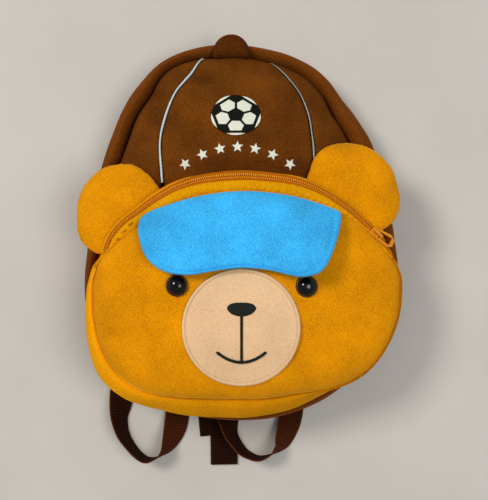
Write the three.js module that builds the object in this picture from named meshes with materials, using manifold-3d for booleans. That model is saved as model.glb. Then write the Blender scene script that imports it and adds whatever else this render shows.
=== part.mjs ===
// A plush toddler backpack: a bear's face under a peaked cap, lying on its back on its straps.
// Millimetres. +X is the right side in front view, +Y is the bag's top and +Z is its front.
import * as THREE from 'three';
import Module from 'manifold-3d';

const { clamp, degToRad, lerp, smoothstep } = THREE.MathUtils;
const wasm = await Module();
wasm.setup();

// Walls and clearances
const GAP = 0.4;
const RIM_WALL = 2;
const PLUSH_WALL = 2.4;
const FACING_WALL = 2;
const TAPE_WALL = 0.8;

// Outlines in front view: distance from one centre by direction, anticlockwise in degrees from +X
const CENTRE = { x: 0, y: -18 };
const OUTLINES = [
  { direction: 0, rim: 126, pocket: 122.5, face: 119 },
  { direction: 10, rim: 130, pocket: 124, face: 118.5 },
  { direction: 22, rim: 135, pocket: 121, face: 106.5 },
  { direction: 35, rim: 146, pocket: 112, face: 97.5 },
  { direction: 50, rim: 166.5, pocket: 104, face: 89.5 },
  { direction: 62, rim: 182, pocket: 100, face: 85 },
  { direction: 72, rim: 198, pocket: 98, face: 81.5 },
  { direction: 82, rim: 204.5, pocket: 97, face: 79.5 },
  { direction: 97, rim: 208, pocket: 97, face: 79 },
  { direction: 108, rim: 204, pocket: 98, face: 80.5 },
  { direction: 118, rim: 189, pocket: 100, face: 82.5 },
  { direction: 130, rim: 166, pocket: 104, face: 85.5 },
  { direction: 145, rim: 144, pocket: 108, face: 91.5 },
  { direction: 160, rim: 131.5, pocket: 113, face: 102.5 },
  { direction: 172, rim: 127, pocket: 116, face: 108 },
  { direction: 185, rim: 124.5, pocket: 118.5, face: 109.5 },
  { direction: 198, rim: 124.5, pocket: 121.5, face: 110 },
  { direction: 210, rim: 122, pocket: 122, face: 108 },
  { direction: 222, rim: 117, pocket: 115.5, face: 101.5 },
  { direction: 235, rim: 108.5, pocket: 104.5, face: 89.5 },
  { direction: 250, rim: 101, pocket: 96, face: 79.5 },
  { direction: 267, rim: 98, pocket: 91.5, face: 75 },
  { direction: 285, rim: 100.5, pocket: 91.5, face: 77 },
  { direction: 300, rim: 105, pocket: 94.5, face: 82 },
  { direction: 315, rim: 110.5, pocket: 100, face: 93 },
  { direction: 330, rim: 116.5, pocket: 110, face: 106.5 },
  { direction: 345, rim: 121.5, pocket: 118.5, face: 114.5 },
];

// Heights above the floor
const BACK_Z = 4.8;
const BACK_THICK = 3.2;
const PANEL_EDGE_Z = 31;
const CROWN_RISE = 49;
const POCKET_BACK_RISE = 27;
const CROWN_FOOT = { from: 36, to: 104 };
const SEAM_LOW_Z = 68;
const SEAM_HIGH_Z = 82;
const FACE_POLE_Z = 93;
const POCKET_BULGE_Z = 52;
const ZIP_BELOW_SEAM = 4;

// The zip runs over the pocket's top between these directions, with a cloth tab past each end
const ZIP_RIGHT_END = 22;
const ZIP_LEFT_END = 161;
const ZIP_TAB = 9;
const TAPE_HALF = 4.2;
const COIL = { half: 1.7, height: 1.6 };
const ZIP_FROM_FACE = { ends: 6.4, top: 11 };

// Distance from the rim's outline in to the groove, by direction above the widest line
const GROOVE = [
  { direction: -90, inset: 9 },
  { direction: 0, inset: 10 },
  { direction: 50, inset: 23 },
  { direction: 60, inset: 22 },
  { direction: 70, inset: 20.5 },
  { direction: 80, inset: 17 },
  { direction: 90, inset: 14.5 },
];
const GROOVE_LEAN = 6;

// The rolled rim from the groove out and round to the back seam:
// share of the groove's inset, more inset, height
const RIM_SECTION = [
  { groove: 1, inset: -0.6, z: 29 },
  { groove: 0.85, inset: 0, z: 35 },
  { groove: 0.5, inset: 0, z: 37.5 },
  { groove: 0.15, inset: 0, z: 30 },
  { groove: 0, inset: 0, z: 19 },
  { groove: 0, inset: 4, z: 8.5 },
  { groove: 0, inset: 14, z: BACK_Z },
];

// The pocket's gusset from its front seam to its base: shares of the way out and down to the bulge
const GUSSET_SECTION = [
  { out: 0, down: 0 },
  { out: 0.45, down: 0.12 },
  { out: 0.85, down: 0.5 },
  { out: 1, down: 1 },
];
const GUSSET_BASE_INSET = 6;

// Directions round the pocket, in stretches that meet at the zip's ends
const POCKET_STRETCHES = [
  { from: ZIP_RIGHT_END, to: ZIP_LEFT_END, steps: 22 },
  { from: ZIP_LEFT_END, to: ZIP_LEFT_END + ZIP_TAB, steps: 3 },
  { from: ZIP_LEFT_END + ZIP_TAB, to: 360 + ZIP_RIGHT_END - ZIP_TAB, steps: 28 },
  { from: 360 + ZIP_RIGHT_END - ZIP_TAB, to: 360 + ZIP_RIGHT_END, steps: 3 },
];
const BAG_STEPS = 48;

// Shares of the way in from a panel's edge to its highest point
const CROWN_ROWS = [1, 0.7, 0.5, 0.34, 0.2, 0.1, 0.035, 0];
const FACE_ROWS = [1, 0.62, 0.32, 0.14, 0.045, 0];

// The two piping lines on the crown, from the pocket up to the groove
const PIPING_RADIUS = 1;
const PIPING_SLOT = 1.7;
const CROWN_SPLIT_Y = 42;
const PIPING = [
  { y: 36, left: -57, right: 55 },
  { y: 78, left: -60, right: 57 },
  { y: 106, left: -61, right: 55 },
  { y: 128, left: -55, right: 51 },
  { y: 148, left: -42, right: 41 },
  { y: 165, left: -31, right: 28 },
  { y: 195, left: -14, right: 5 },
];

// Applied pieces, placed on the crown and the face
const BALL = { x: -3, y: 121, across: 19, along: 16.5, rise: 0.9 };
const BUTTON = { x: -7, half: 14.5, low: 173, high: 192, z: 38.3, thick: 9 };
const MUZZLE = { x: 1, y: -39.5, radius: 42.5, rise: 3.6 };
const NOSE = { x: 1.3, y: -26, half: 10.3, up: 3.8, down: 5.9, rise: 0.9 };
const MOUTH = { x: 1.3, low: -64, left: -16.5, right: 19, corner: -56.5, width: 2.2, rise: 0.9 };
const EYE = { radius: 8, flange: 1.2, height: 5.6 };
const EYES = [
  { name: 'eye_left', x: -45, y: -9.2 },
  { name: 'eye_right', x: 48, y: -9.8 },
];
const EARS = [
  { name: 'ear_left', x: -92, y: 52, z: 63, radius: 33.5, facing: 135 },
  { name: 'ear_right', x: 87, y: 67, z: 64, radius: 34, facing: 48 },
];
const EAR_HALF_THICK = 7;
const EAR_TILT = 13;
const EAR_STEPS = 24;

// The visor: its outline, thickness and how far its free edge stands off the face
const VISOR = { poleX: 0, poleY: 28, thick: 7.5, edge: 3.2, lift: 5, rightLift: 5, seamY: 60, depth: 62 };
const VISOR_OUTLINE = [
  { x: 2, y: 59.5 },
  { x: 40, y: 55.5 },
  { x: 70, y: 45 },
  { x: 73, y: 41 },
  { x: 66, y: 15 },
  { x: 57, y: 0.5 },
  { x: 44, y: -3.5 },
  { x: 20, y: 1.5 },
  { x: 1, y: 3 },
  { x: -17, y: 1 },
  { x: -38, y: -2 },
  { x: -54, y: 2 },
  { x: -66, y: 14 },
  { x: -73, y: 37 },
  { x: -70, y: 42 },
  { x: -38, y: 54 },
];

// Webbing: along each loop the ribbon leans to -X, flat at its legs and on edge at its bend
const WEB = { width: 20, thick: 1.4 };
const LOOPS = [
  {
    name: 'web_loop_left',
    route: [
      { x: -93, y: -70, rise: 0, floor: 0 },
      { x: -97, y: -90, rise: 8, floor: 0 },
      { x: -98, y: -104, rise: 28, floor: 0 },
      { x: -98.5, y: -117, rise: 56, floor: 0 },
      { x: -95.5, y: -129, rise: 68, floor: 0 },
      { x: -90, y: -138, rise: 76, floor: 0 },
      { x: -83, y: -146, rise: 80, floor: 0 },
      { x: -75.5, y: -150.5, rise: 82, floor: 0 },
      { x: -66, y: -147.5, rise: 74, floor: 0 },
      { x: -59.5, y: -141.5, rise: 60, floor: 0 },
      { x: -55, y: -131, rise: 36, floor: 0 },
      { x: -52.5, y: -120, rise: 15, floor: 0 },
      { x: -51, y: -104, rise: 3, floor: 0 },
      { x: -51, y: -92, rise: 0, floor: 0 },
      { x: -51, y: -37, rise: 0, floor: 0 },
    ],
  },
  {
    name: 'web_loop_right',
    route: [
      { x: -11, y: -92, rise: 0, floor: 1.8 },
      { x: -10.5, y: -110, rise: 0, floor: 1.8 },
      { x: -9, y: -120, rise: 24, floor: 1.8 },
      { x: -6.9, y: -130.7, rise: 47, floor: 2 },
      { x: 1.1, y: -142, rise: 64, floor: 1.6 },
      { x: 8, y: -147, rise: 75, floor: 0.6 },
      { x: 16, y: -149, rise: 80, floor: 0 },
      { x: 25, y: -146, rise: 70, floor: 0 },
      { x: 31, y: -141.5, rise: 55, floor: 0 },
      { x: 35, y: -136, rise: 41, floor: 0 },
      { x: 40.7, y: -120.5, rise: 15, floor: 0 },
      { x: 43, y: -106, rise: 3, floor: 0 },
      { x: 44, y: -92, rise: 0, floor: 0 },
      { x: 51, y: -37, rise: 0, floor: 0 },
    ],
  },
];
const TAIL = {
  top: { x: -30, y: -56 },
  low: { x: -23, y: -132 },
  hemTop: { x: -13.5, y: -129 },
  hemLow: { x: -13, y: -153 },
  hemWidth: 22,
  hemLayers: 1.9,
};
const SHOULDER = { width: 40, thick: 4.4 };
const SHOULDER_ROUTE = [
  { x: 51, y: -28 },
  { x: 58, y: 15 },
  { x: 52, y: 75 },
  { x: 33, y: 128 },
  { x: 24, y: 150 },
];
const ADJUSTER = { x: 51, y: -40.5, width: 28, length: 18, thick: 2.4, z: 1.9, bar: 3.2 };

// The zip's slider and pull, in the slider's own frame: x along the zip, z off the tape
const SLIDER = { half: 5, halfWidth: 2.9, flange: 0.8, low: 0.5, under: 2.4, top: 3.7 };
const BRIDGE = { foot: 3.8, inFoot: 2.5, shoulder: 3, inShoulder: 2.3, top: 7.3, under: 6.1, half: 1 };
const PULL = { bar: 0.6, z: 4.9, near: 3.8, far: 5, length: 14, rail: 1.2, end: 2.6, yaw: 15 };
const SLIDER_DIRECTION = 25;
const TAPE_SLOPE = 18;

// Colours from the cloth, with roughness
const FINISH = {
  brown: { color: 0x61320f, roughness: 0.95 },
  orange: { color: 0xd98b08, roughness: 0.95 },
  blue: { color: 0x46b4ee, roughness: 0.9 },
  peach: { color: 0xe4bb8c, roughness: 0.9 },
  thread: { color: 0x22241f, roughness: 0.6 },
  piping: { color: 0xcfe3e6, roughness: 0.5 },
  white: { color: 0xe6ead4, roughness: 0.7 },
  zip: { color: 0xbe7008, roughness: 0.7 },
  metal: { color: 0xb87008, roughness: 0.4, metalness: 0.3 },
  glossy: { color: 0x14100c, roughness: 0.1 },
  webbing: { color: 0x341407, roughness: 0.8 },
};

const bag = new THREE.Group();

function addPiece(parent, name, geometry, finish) {
  const mesh = new THREE.Mesh(geometry, new THREE.MeshStandardMaterial(FINISH[finish]));
  mesh.name = name;
  parent.add(mesh);
  return mesh;
}

// Surfaces and solids

function meshOf(positions, index) {
  const geometry = new THREE.BufferGeometry();
  geometry.setAttribute('position', new THREE.Float32BufferAttribute(positions, 3));
  geometry.setIndex(index);
  return geometry;
}

// A surface through rings of points, its front on the side that rings moving outwards show from above.
// A ring of one point is a pole.
function loft(rings, closed = true) {
  const starts = [];
  let total = 0;
  for (const ring of rings) {
    starts.push(total);
    total += ring.length;
  }
  const count = Math.max(...rings.map((ring) => ring.length));
  const spans = closed ? count : count - 1;
  const at = (row, i) => starts[row] + (rings[row].length === 1 ? 0 : i % count);
  const index = [];
  for (let row = 1; row < rings.length; row++) {
    for (let i = 0; i < spans; i++) {
      const [a, b, c, d] = [at(row - 1, i), at(row, i), at(row, i + 1), at(row - 1, i + 1)];
      if (a !== d) index.push(a, b, d);
      if (b !== c) index.push(b, c, d);
    }
  }
  return meshOf(rings.flat().flatMap((point) => point.toArray()), index);
}

// A solid between an outer surface and an inner one of the same layout
function between(outer, inner) {
  const count = outer.attributes.position.count;
  const front = [...outer.index.array];
  const edges = new Set();
  const index = [...front];
  for (let i = 0; i < front.length; i += 3) {
    const [a, b, c] = front.slice(i, i + 3);
    index.push(c + count, b + count, a + count);
    [[a, b], [b, c], [c, a]].forEach(([from, to]) => edges.add(`${from} ${to}`));
  }
  for (const edge of edges) {
    const [from, to] = edge.split(' ').map(Number);
    if (!edges.has(`${to} ${from}`)) index.push(to, from, from + count, to, from + count, to + count);
  }
  return meshOf([...outer.attributes.position.array, ...inner.attributes.position.array], index);
}

// A cloth wall behind a surface
function thicken(surface, wall) {
  surface.computeVertexNormals();
  const { position, normal } = surface.attributes;
  const back = [];
  for (let i = 0; i < position.count; i++) {
    const point = new THREE.Vector3().fromBufferAttribute(position, i);
    point.addScaledVector(new THREE.Vector3().fromBufferAttribute(normal, i), -wall);
    back.push(...point.toArray());
  }
  return between(surface, meshOf(back, [...surface.index.array]));
}

function signedVolume(geometry) {
  const { position } = geometry.attributes;
  const [a, b, c] = [new THREE.Vector3(), new THREE.Vector3(), new THREE.Vector3()];
  let volume = 0;
  for (let i = 0; i < geometry.index.count; i += 3) {
    a.fromBufferAttribute(position, geometry.index.getX(i));
    b.fromBufferAttribute(position, geometry.index.getX(i + 1));
    c.fromBufferAttribute(position, geometry.index.getX(i + 2));
    volume += a.dot(b.cross(c)) / 6;
  }
  return volume;
}

function facingOut(geometry) {
  if (signedVolume(geometry) < 0) geometry.setIndex([...geometry.index.array].reverse());
  return geometry;
}

// A section of [across, up] pairs swept along stations, closed at both ends
function sweep(stations, section) {
  const rings = stations.map(({ at, across, up }) => section.map(([u, v]) => (
    at.clone().addScaledVector(across, u).addScaledVector(up, v)
  )));
  const first = [stations[0].at];
  const last = [stations[stations.length - 1].at];
  return facingOut(loft([first, ...rings, last]));
}

const rectangle = (width, thick) => [
  [-width / 2, -thick / 2],
  [width / 2, -thick / 2],
  [width / 2, thick / 2],
  [-width / 2, thick / 2],
];

// A pad on a ground: rings shrink from its outline to its pole, with a low and a high surface
function pad(outline, pole, rows, low, high) {
  const rings = (height) => rows.map((inward) => {
    const points = inward === 1 ? [pole] : outline;
    return points.map((point) => {
      const x = lerp(point.x, pole.x, inward);
      const y = lerp(point.y, pole.y, inward);
      return new THREE.Vector3(x, y, height(x, y, inward));
    });
  });
  return facingOut(between(loft(rings(high)), loft(rings(low))));
}

function circle(x, y, radius, steps) {
  return new THREE.EllipseCurve(x, y, radius, radius).getPoints(steps).slice(0, steps);
}

function toManifold(geometry) {
  return new wasm.Manifold(new wasm.Mesh({
    numProp: 3,
    vertProperties: new Float32Array(geometry.attributes.position.array),
    triVerts: new Uint32Array(geometry.index.array),
  }));
}

function fromManifold(solid) {
  const { vertProperties, triVerts } = solid.getMesh();
  return meshOf([...vertProperties], [...triVerts]);
}

// A straight prism of an outline, from one height to another
function prism(outline, low, high) {
  const ring = (z) => outline.map((point) => new THREE.Vector3(point.x, point.y, z));
  const shape = THREE.ShapeUtils.triangulateShape(outline, []);
  const count = outline.length;
  const index = shape.flatMap(([a, b, c]) => [a, b, c, c + count, b + count, a + count]);
  for (let i = 0; i < count; i++) {
    const next = (i + 1) % count;
    index.push(next, i, i + count, next, i + count, next + count);
  }
  return facingOut(meshOf([...ring(low), ...ring(high)].flatMap((point) => point.toArray()), index));
}

// The bag's outlines and heights

// A smooth line through one column of the outlines
function reach(column, angle) {
  const degrees = ((THREE.MathUtils.radToDeg(angle) % 360) + 360) % 360;
  const count = OUTLINES.length;
  const here = OUTLINES.findLastIndex((row) => row.direction <= degrees);
  const row = (step) => {
    const { direction, [column]: value } = OUTLINES[(here + step + count) % count];
    return { value, direction: direction + 360 * Math.floor((here + step) / count) };
  };
  const [before, from, to, after] = [-1, 0, 1, 2].map(row);
  const slope = (low, high) => (high.value - low.value) / (high.direction - low.direction);
  const span = to.direction - from.direction;
  const share = (degrees - from.direction) / span;
  const fromSlope = slope(before, to) * span;
  const toSlope = slope(from, after) * span;
  const rise = share * share * (3 - 2 * share);
  const bend = share * (1 - share) * ((1 - share) * fromSlope - share * toSlope);
  return lerp(from.value, to.value, rise) + bend;
}

function spot(angle, distance, z) {
  return new THREE.Vector3(
    CENTRE.x + distance * Math.cos(angle), CENTRE.y + distance * Math.sin(angle), z,
  );
}

function polar(x, y) {
  const dx = x - CENTRE.x;
  const dy = y - CENTRE.y;
  return { angle: Math.atan2(dy, dx), distance: Math.hypot(dx, dy) };
}

function tableValue(rows, key, column, value) {
  const next = rows.findIndex((row) => row[key] >= value);
  if (next <= 0) return rows[next === 0 ? 0 : rows.length - 1][column];
  const [before, after] = [rows[next - 1], rows[next]];
  const share = (value - before[key]) / (after[key] - before[key]);
  return lerp(before[column], after[column], share);
}

function grooveInset(angle) {
  const direction = THREE.MathUtils.radToDeg(Math.asin(Math.sin(angle)));
  const lean = GROOVE_LEAN * Math.cos(angle) * smoothstep(direction, 20, 50);
  return tableValue(GROOVE, 'direction', 'inset', direction) + lean;
}

const panelReach = (angle) => reach('rim', angle) - grooveInset(angle);
const dome = (inward) => Math.sqrt(1 - (1 - clamp(inward, 0, 1)) ** 2);

// The front wall: high at the cap's crown, and lower where the pocket covers it
function crownHeight(x, y) {
  const { angle, distance } = polar(x, y);
  const rise = lerp(POCKET_BACK_RISE, CROWN_RISE, smoothstep(y, CROWN_FOOT.from, CROWN_FOOT.to));
  return PANEL_EDGE_Z + rise * dome(1 - distance / panelReach(angle));
}

function seamHeight(angle) {
  const edgeY = CENTRE.y + reach('face', angle) * Math.sin(angle);
  return lerp(SEAM_LOW_Z, SEAM_HIGH_Z, smoothstep(edgeY, -20, 60));
}

function faceHeight(x, y) {
  const { angle, distance } = polar(x, y);
  return lerp(seamHeight(angle), FACE_POLE_Z, dome(1 - distance / reach('face', angle)));
}

function zipReach(angle) {
  const upper = smoothstep(Math.sin(angle), 0.35, 0.95);
  return reach('face', angle) + lerp(ZIP_FROM_FACE.ends, ZIP_FROM_FACE.top, upper);
}

const zipHeight = (angle) => seamHeight(angle) - ZIP_BELOW_SEAM;

// How far the pocket's front edge has moved out to the zip's back edge: 0 below the tabs, 1 along the zip
function zipShare(degrees) {
  const turned = ((degrees + 90) % 360) - 90;
  return smoothstep(Math.min(turned - ZIP_RIGHT_END, ZIP_LEFT_END - turned), -ZIP_TAB, 0);
}

const pocketAngles = POCKET_STRETCHES.flatMap(({ from, to, steps }) => (
  Array.from({ length: steps }, (_, i) => lerp(from, to, i / steps))
));
const bagAngles = Array.from({ length: BAG_STEPS }, (_, i) => (2 * Math.PI * i) / BAG_STEPS);

// Main bag

function rimRing({ groove, inset, z }) {
  return bagAngles.map((angle) => (
    spot(angle, reach('rim', angle) - groove * grooveInset(angle) - inset, z)
  ));
}

function crownRings(lift) {
  return CROWN_ROWS.map((inward) => {
    const angles = inward === 1 ? [0] : bagAngles;
    return angles.map((angle) => {
      const point = spot(angle, panelReach(angle) * (1 - inward), 0);
      return point.setZ(crownHeight(point.x, point.y) + lift);
    });
  });
}

function addMainBag() {
  addPiece(bag, 'rear_rim', thicken(loft(RIM_SECTION.map(rimRing)), RIM_WALL), 'brown');
  const backEdge = RIM_SECTION[RIM_SECTION.length - 1].inset + RIM_WALL;
  const backOutline = bagAngles.map((angle) => spot(angle, reach('rim', angle) - backEdge, 0));
  addPiece(bag, 'back_panel', prism(backOutline, BACK_Z, BACK_Z + BACK_THICK), 'brown');
}

// The front wall is cut into the cap's three panels and the part behind the pocket
function addCrown() {
  const wall = toManifold(thicken(loft(crownRings(0)), PLUSH_WALL));
  const line = (side, shift) => new THREE.SplineCurve(
    PIPING.map((row) => new THREE.Vector2(row[side] + shift, row.y)),
  ).getPoints(18);
  const outside = 200;
  const corner = (x, y) => new THREE.Vector2(x, y);
  const seamY = CROWN_SPLIT_Y + GAP / 2;
  const upper = (points) => points.filter((point) => point.y > seamY + 1);
  const foot = (side, shift) => corner(tableValue(PIPING, 'y', side, seamY) + shift, seamY);
  const leftLine = (shift) => [foot('left', shift), ...upper(line('left', shift))];
  const rightLine = (shift) => [foot('right', shift), ...upper(line('right', shift))];
  const regions = {
    crown_left: [corner(-outside, seamY), ...leftLine(-PIPING_SLOT), corner(-outside, outside)],
    crown_centre: [...leftLine(PIPING_SLOT).reverse(), ...rightLine(-PIPING_SLOT)],
    crown_right: [corner(outside, outside), ...rightLine(PIPING_SLOT).reverse(), corner(outside, seamY)],
    front_lower: [
      corner(-outside, -outside), corner(outside, -outside),
      corner(outside, CROWN_SPLIT_Y - GAP / 2), corner(-outside, CROWN_SPLIT_Y - GAP / 2),
    ],
  };
  for (const [name, region] of Object.entries(regions)) {
    addPiece(bag, name, fromManifold(wall.intersect(toManifold(prism(region, 0, 120)))), 'brown');
  }
}

function addPiping() {
  const hexagon = circle(0, 0, PIPING_RADIUS, 6).map((point) => [point.x, point.y]);
  for (const side of ['left', 'right']) {
    const line = new THREE.SplineCurve(PIPING.map((row) => new THREE.Vector2(row[side], row.y)));
    const shown = line.getPoints(40).filter((point) => {
      const { angle, distance } = polar(point.x, point.y);
      const fromEar = ({ x, y, radius }) => Math.hypot(point.x - x, point.y - y) - radius;
      const clearOfEars = EARS.every((ear) => fromEar(ear) > 1.5);
      return distance < panelReach(angle) - 2 && distance > zipReach(angle) + TAPE_HALF + 4 && clearOfEars;
    });
    const curve = shown.map(({ x, y }) => new THREE.Vector3(x, y, crownHeight(x, y)));
    addPiece(bag, `piping_${side}`, sweep(stationsAlong(curve), hexagon), 'piping');
  }
}

// Stations along points that lie near level ground, with the section's across direction level
function stationsAlong(points) {
  return points.map((at, i) => {
    const before = points[Math.max(i - 1, 0)];
    const after = points[Math.min(i + 1, points.length - 1)];
    const along = after.clone().sub(before).normalize();
    const across = along.clone().cross(new THREE.Vector3(0, 0, 1)).normalize();
    return { at, across, up: across.clone().cross(along) };
  });
}

function addCapDetails() {
  const patchGround = (x, y) => crownHeight(x, y) + GAP;
  const patchTop = (x, y, inward) => (
    patchGround(x, y) + BALL.rise * lerp(0.5, 1, smoothstep(inward, 0, 0.1))
  );
  const oval = new THREE.EllipseCurve(BALL.x, BALL.y, BALL.across, BALL.along).getPoints(20).slice(0, 20);
  const patch = pad(oval, BALL, [1, 0.5, 0.1, 0], patchGround, patchTop);
  addPiece(bag, 'ball_patch', patch, 'white');

  const shape = new THREE.Shape();
  shape.moveTo(BUTTON.x + BUTTON.half, BUTTON.low);
  shape.lineTo(BUTTON.x + BUTTON.half, BUTTON.high - BUTTON.half);
  shape.absarc(BUTTON.x, BUTTON.high - BUTTON.half, BUTTON.half, 0, Math.PI, false);
  shape.lineTo(BUTTON.x - BUTTON.half, BUTTON.low);
  const outline = shape.getPoints(7);
  const pole = { x: BUTTON.x, y: (BUTTON.low + BUTTON.high) / 2 };
  const buttonTop = (x, y, inward) => BUTTON.z + BUTTON.thick * lerp(0.4, 1, dome(inward));
  const button = pad(outline, pole, [1, 0.6, 0.25, 0.08, 0], () => BUTTON.z, buttonTop);
  addPiece(bag, 'cap_button', button, 'brown');
}

// One plain band under the groove over the bag's upper half
function addMainZip() {
  const angles = Array.from({ length: 23 }, (_, i) => degToRad(lerp(4, 176, i / 22)));
  const band = (distance) => angles.map((angle) => spot(angle, panelReach(angle) + distance, 27.8));
  addPiece(bag, 'main_zip', thicken(loft([band(-4), band(3.5)], false), TAPE_WALL), 'webbing');
}

// Front pocket

function pocketFront(degrees) {
  const angle = degToRad(degrees);
  const share = zipShare(degrees);
  const distance = lerp(reach('face', angle) + GAP, zipReach(angle) + TAPE_HALF + GAP, share);
  const z = lerp(seamHeight(angle), zipHeight(angle) - 1.6, share);
  return { angle, distance, z, share };
}

// The gusset bulges past its front edge, and only a little behind the zip
function widestReach(front) {
  const bulge = Math.max(reach('pocket', front.angle), front.distance + 4);
  return lerp(bulge, front.distance + 2.4, front.share);
}

function gussetRing({ out, down }) {
  return pocketAngles.map((degrees) => {
    const front = pocketFront(degrees);
    const widest = widestReach(front);
    const bulgeZ = lerp(POCKET_BULGE_Z, front.z - 1.2, front.share);
    return spot(front.angle, lerp(front.distance, widest, out), lerp(front.z, bulgeZ, down));
  });
}

function gussetBaseRing() {
  return pocketAngles.map((degrees) => {
    const front = pocketFront(degrees);
    const onPanel = panelReach(front.angle) - GUSSET_BASE_INSET;
    const point = spot(front.angle, Math.min(onPanel, lerp(onPanel, front.distance + 2.6, front.share)), 0);
    return point.setZ(crownHeight(point.x, point.y) - 4);
  });
}

// The space under the front wall's surface, which the pieces that lie on it are trimmed by
function underCrown() {
  const rings = crownRings(GAP);
  const floorRing = rings[rings.length - 1].map((point) => point.clone().setZ(1));
  return toManifold(loft([...rings, floorRing, [spot(0, 0, 1)]]));
}

function addPocket(crownSpace) {
  const faceRings = FACE_ROWS.map((inward) => {
    const directions = inward === 1 ? [0] : pocketAngles;
    return directions.map((degrees) => {
      const angle = degToRad(degrees);
      const point = spot(angle, reach('face', angle) * (1 - inward), 0);
      return point.setZ(faceHeight(point.x, point.y));
    });
  });
  addPiece(bag, 'pocket_face', thicken(loft(faceRings), PLUSH_WALL), 'orange');

  const gusset = thicken(loft([...GUSSET_SECTION.map(gussetRing), gussetBaseRing()]), PLUSH_WALL);
  addPiece(bag, 'pocket_gusset', fromManifold(toManifold(gusset).subtract(crownSpace)), 'orange');
}

// The facing strip beside the zip, which closes round the zip's ends as two small tabs
function addFacing() {
  const tab = (from, to) => Array.from({ length: 5 }, (_, i) => lerp(from, to, i / 4));
  const clearOfTape = 0.4;
  const directions = [
    ...tab(ZIP_RIGHT_END - ZIP_TAB + 1.5, ZIP_RIGHT_END - clearOfTape),
    ...pocketAngles.filter((degrees) => degrees >= ZIP_RIGHT_END && degrees <= ZIP_LEFT_END),
    ...tab(ZIP_LEFT_END + clearOfTape, ZIP_LEFT_END + ZIP_TAB - 1.5),
  ];
  const rows = [0, 0.5, 1].map((across) => directions.map((degrees) => {
    const front = pocketFront(degrees);
    const besideZip = degrees >= ZIP_RIGHT_END && degrees <= ZIP_LEFT_END;
    const inner = reach('face', front.angle) + GAP;
    const outer = besideZip ? zipReach(front.angle) - TAPE_HALF + 0.8 : front.distance - GAP;
    const seam = seamHeight(front.angle);
    const outerZ = besideZip ? seam - 0.2 : front.z + 0.6;
    const bulge = Math.sin(Math.PI * across);
    const distance = lerp(inner, Math.max(outer, inner + 2 * GAP), across);
    return spot(front.angle, distance, lerp(seam + 0.3, outerZ, across) + bulge);
  }));
  addPiece(bag, 'zip_facing', thicken(loft(rows, false), FACING_WALL), 'orange');
}

function addZip() {
  const directions = pocketAngles.filter((degrees) => degrees <= ZIP_LEFT_END).map(degToRad);
  const rows = [-1, 0, 1].map((across) => directions.map((angle) => (
    spot(angle, zipReach(angle) + across * TAPE_HALF, zipHeight(angle) - across * 1.4)
  )));
  addPiece(bag, 'zip_tape', thicken(loft(rows, false), TAPE_WALL), 'zip');
  const section = [
    [-COIL.half, 0],
    [COIL.half, 0],
    [COIL.half * 0.6, COIL.height],
    [-COIL.half * 0.6, COIL.height],
  ];
  const coilLine = directions.slice(1, -1).map((angle) => (
    spot(angle, zipReach(angle), zipHeight(angle) + GAP + 0.3)
  ));
  addPiece(bag, 'zip_coil', sweep(stationsAlong(coilLine), section), 'zip');
}

// The slider sits near the zip's right end: its bridge runs along the zip, over the pull's bar
function addSlider() {
  const angle = degToRad(SLIDER_DIRECTION);
  const at = spot(angle, zipReach(angle), zipHeight(angle));
  const ahead = degToRad(SLIDER_DIRECTION - 2);
  const along = spot(ahead, zipReach(ahead), zipHeight(ahead)).sub(at).normalize();
  const outward = new THREE.Vector3(Math.cos(angle), Math.sin(angle), 0);
  const off = new THREE.Vector3(0, 0, Math.cos(degToRad(TAPE_SLOPE)));
  off.addScaledVector(outward, Math.sin(degToRad(TAPE_SLOPE)));
  const across = off.clone().cross(along).normalize();
  const slider = new THREE.Group();
  slider.matrixAutoUpdate = false;
  slider.matrix.makeBasis(along, across, along.clone().cross(across)).setPosition(at);
  slider.matrix.decompose(slider.position, slider.quaternion, slider.scale);
  slider.matrixAutoUpdate = true;
  bag.add(slider);

  const { half, halfWidth, flange, low, under, top } = SLIDER;
  const inner = halfWidth - flange;
  const body = [
    [-halfWidth, low], [-inner, low], [-inner, under], [inner, under],
    [inner, low], [halfWidth, low], [halfWidth, top], [-halfWidth, top],
  ];
  const channel = extrude(shapeOf(body), 2 * half).translate(0, 0, -half);
  channel.rotateX(Math.PI / 2).rotateZ(Math.PI / 2);
  const foot = under + 0.5;
  const arch = [
    [-BRIDGE.foot, foot], [-BRIDGE.inFoot, foot], [-BRIDGE.inShoulder, BRIDGE.under],
    [BRIDGE.inShoulder, BRIDGE.under], [BRIDGE.inFoot, foot], [BRIDGE.foot, foot],
    [BRIDGE.shoulder, BRIDGE.top], [-BRIDGE.shoulder, BRIDGE.top],
  ];
  const bridge = extrude(shapeOf(arch), 2 * BRIDGE.half).translate(0, 0, -BRIDGE.half).rotateX(Math.PI / 2);
  addPiece(slider, 'zip_slider', fromManifold(toManifold(channel).add(toManifold(bridge))), 'metal');

  const hinge = new THREE.Group();
  hinge.name = 'pull_hinge';
  hinge.position.set(0.4, 0, PULL.z);
  hinge.rotation.z = degToRad(PULL.yaw);
  slider.add(hinge);
  const { bar, near, far, length, rail } = PULL;
  const frame = shapeOf([
    [-bar, -near], [0.7 * length, -far], [length, -0.55 * far],
    [length, 0.55 * far], [0.7 * length, far], [-bar, near],
  ]);
  const holeEnd = length - PULL.end;
  const holeHalf = far - 1.6 * rail;
  frame.holes.push(shapeOf([
    [bar, rail - near], [bar, near - rail], [holeEnd, holeHalf], [holeEnd, -holeHalf],
  ]));
  const plate = extrude(frame, 2 * bar).translate(0, 0, -bar);
  addPiece(hinge, 'zip_pull', plate, 'metal');
}

const shapeOf = (corners) => new THREE.Shape(corners.map(([x, y]) => new THREE.Vector2(x, y)));

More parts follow.
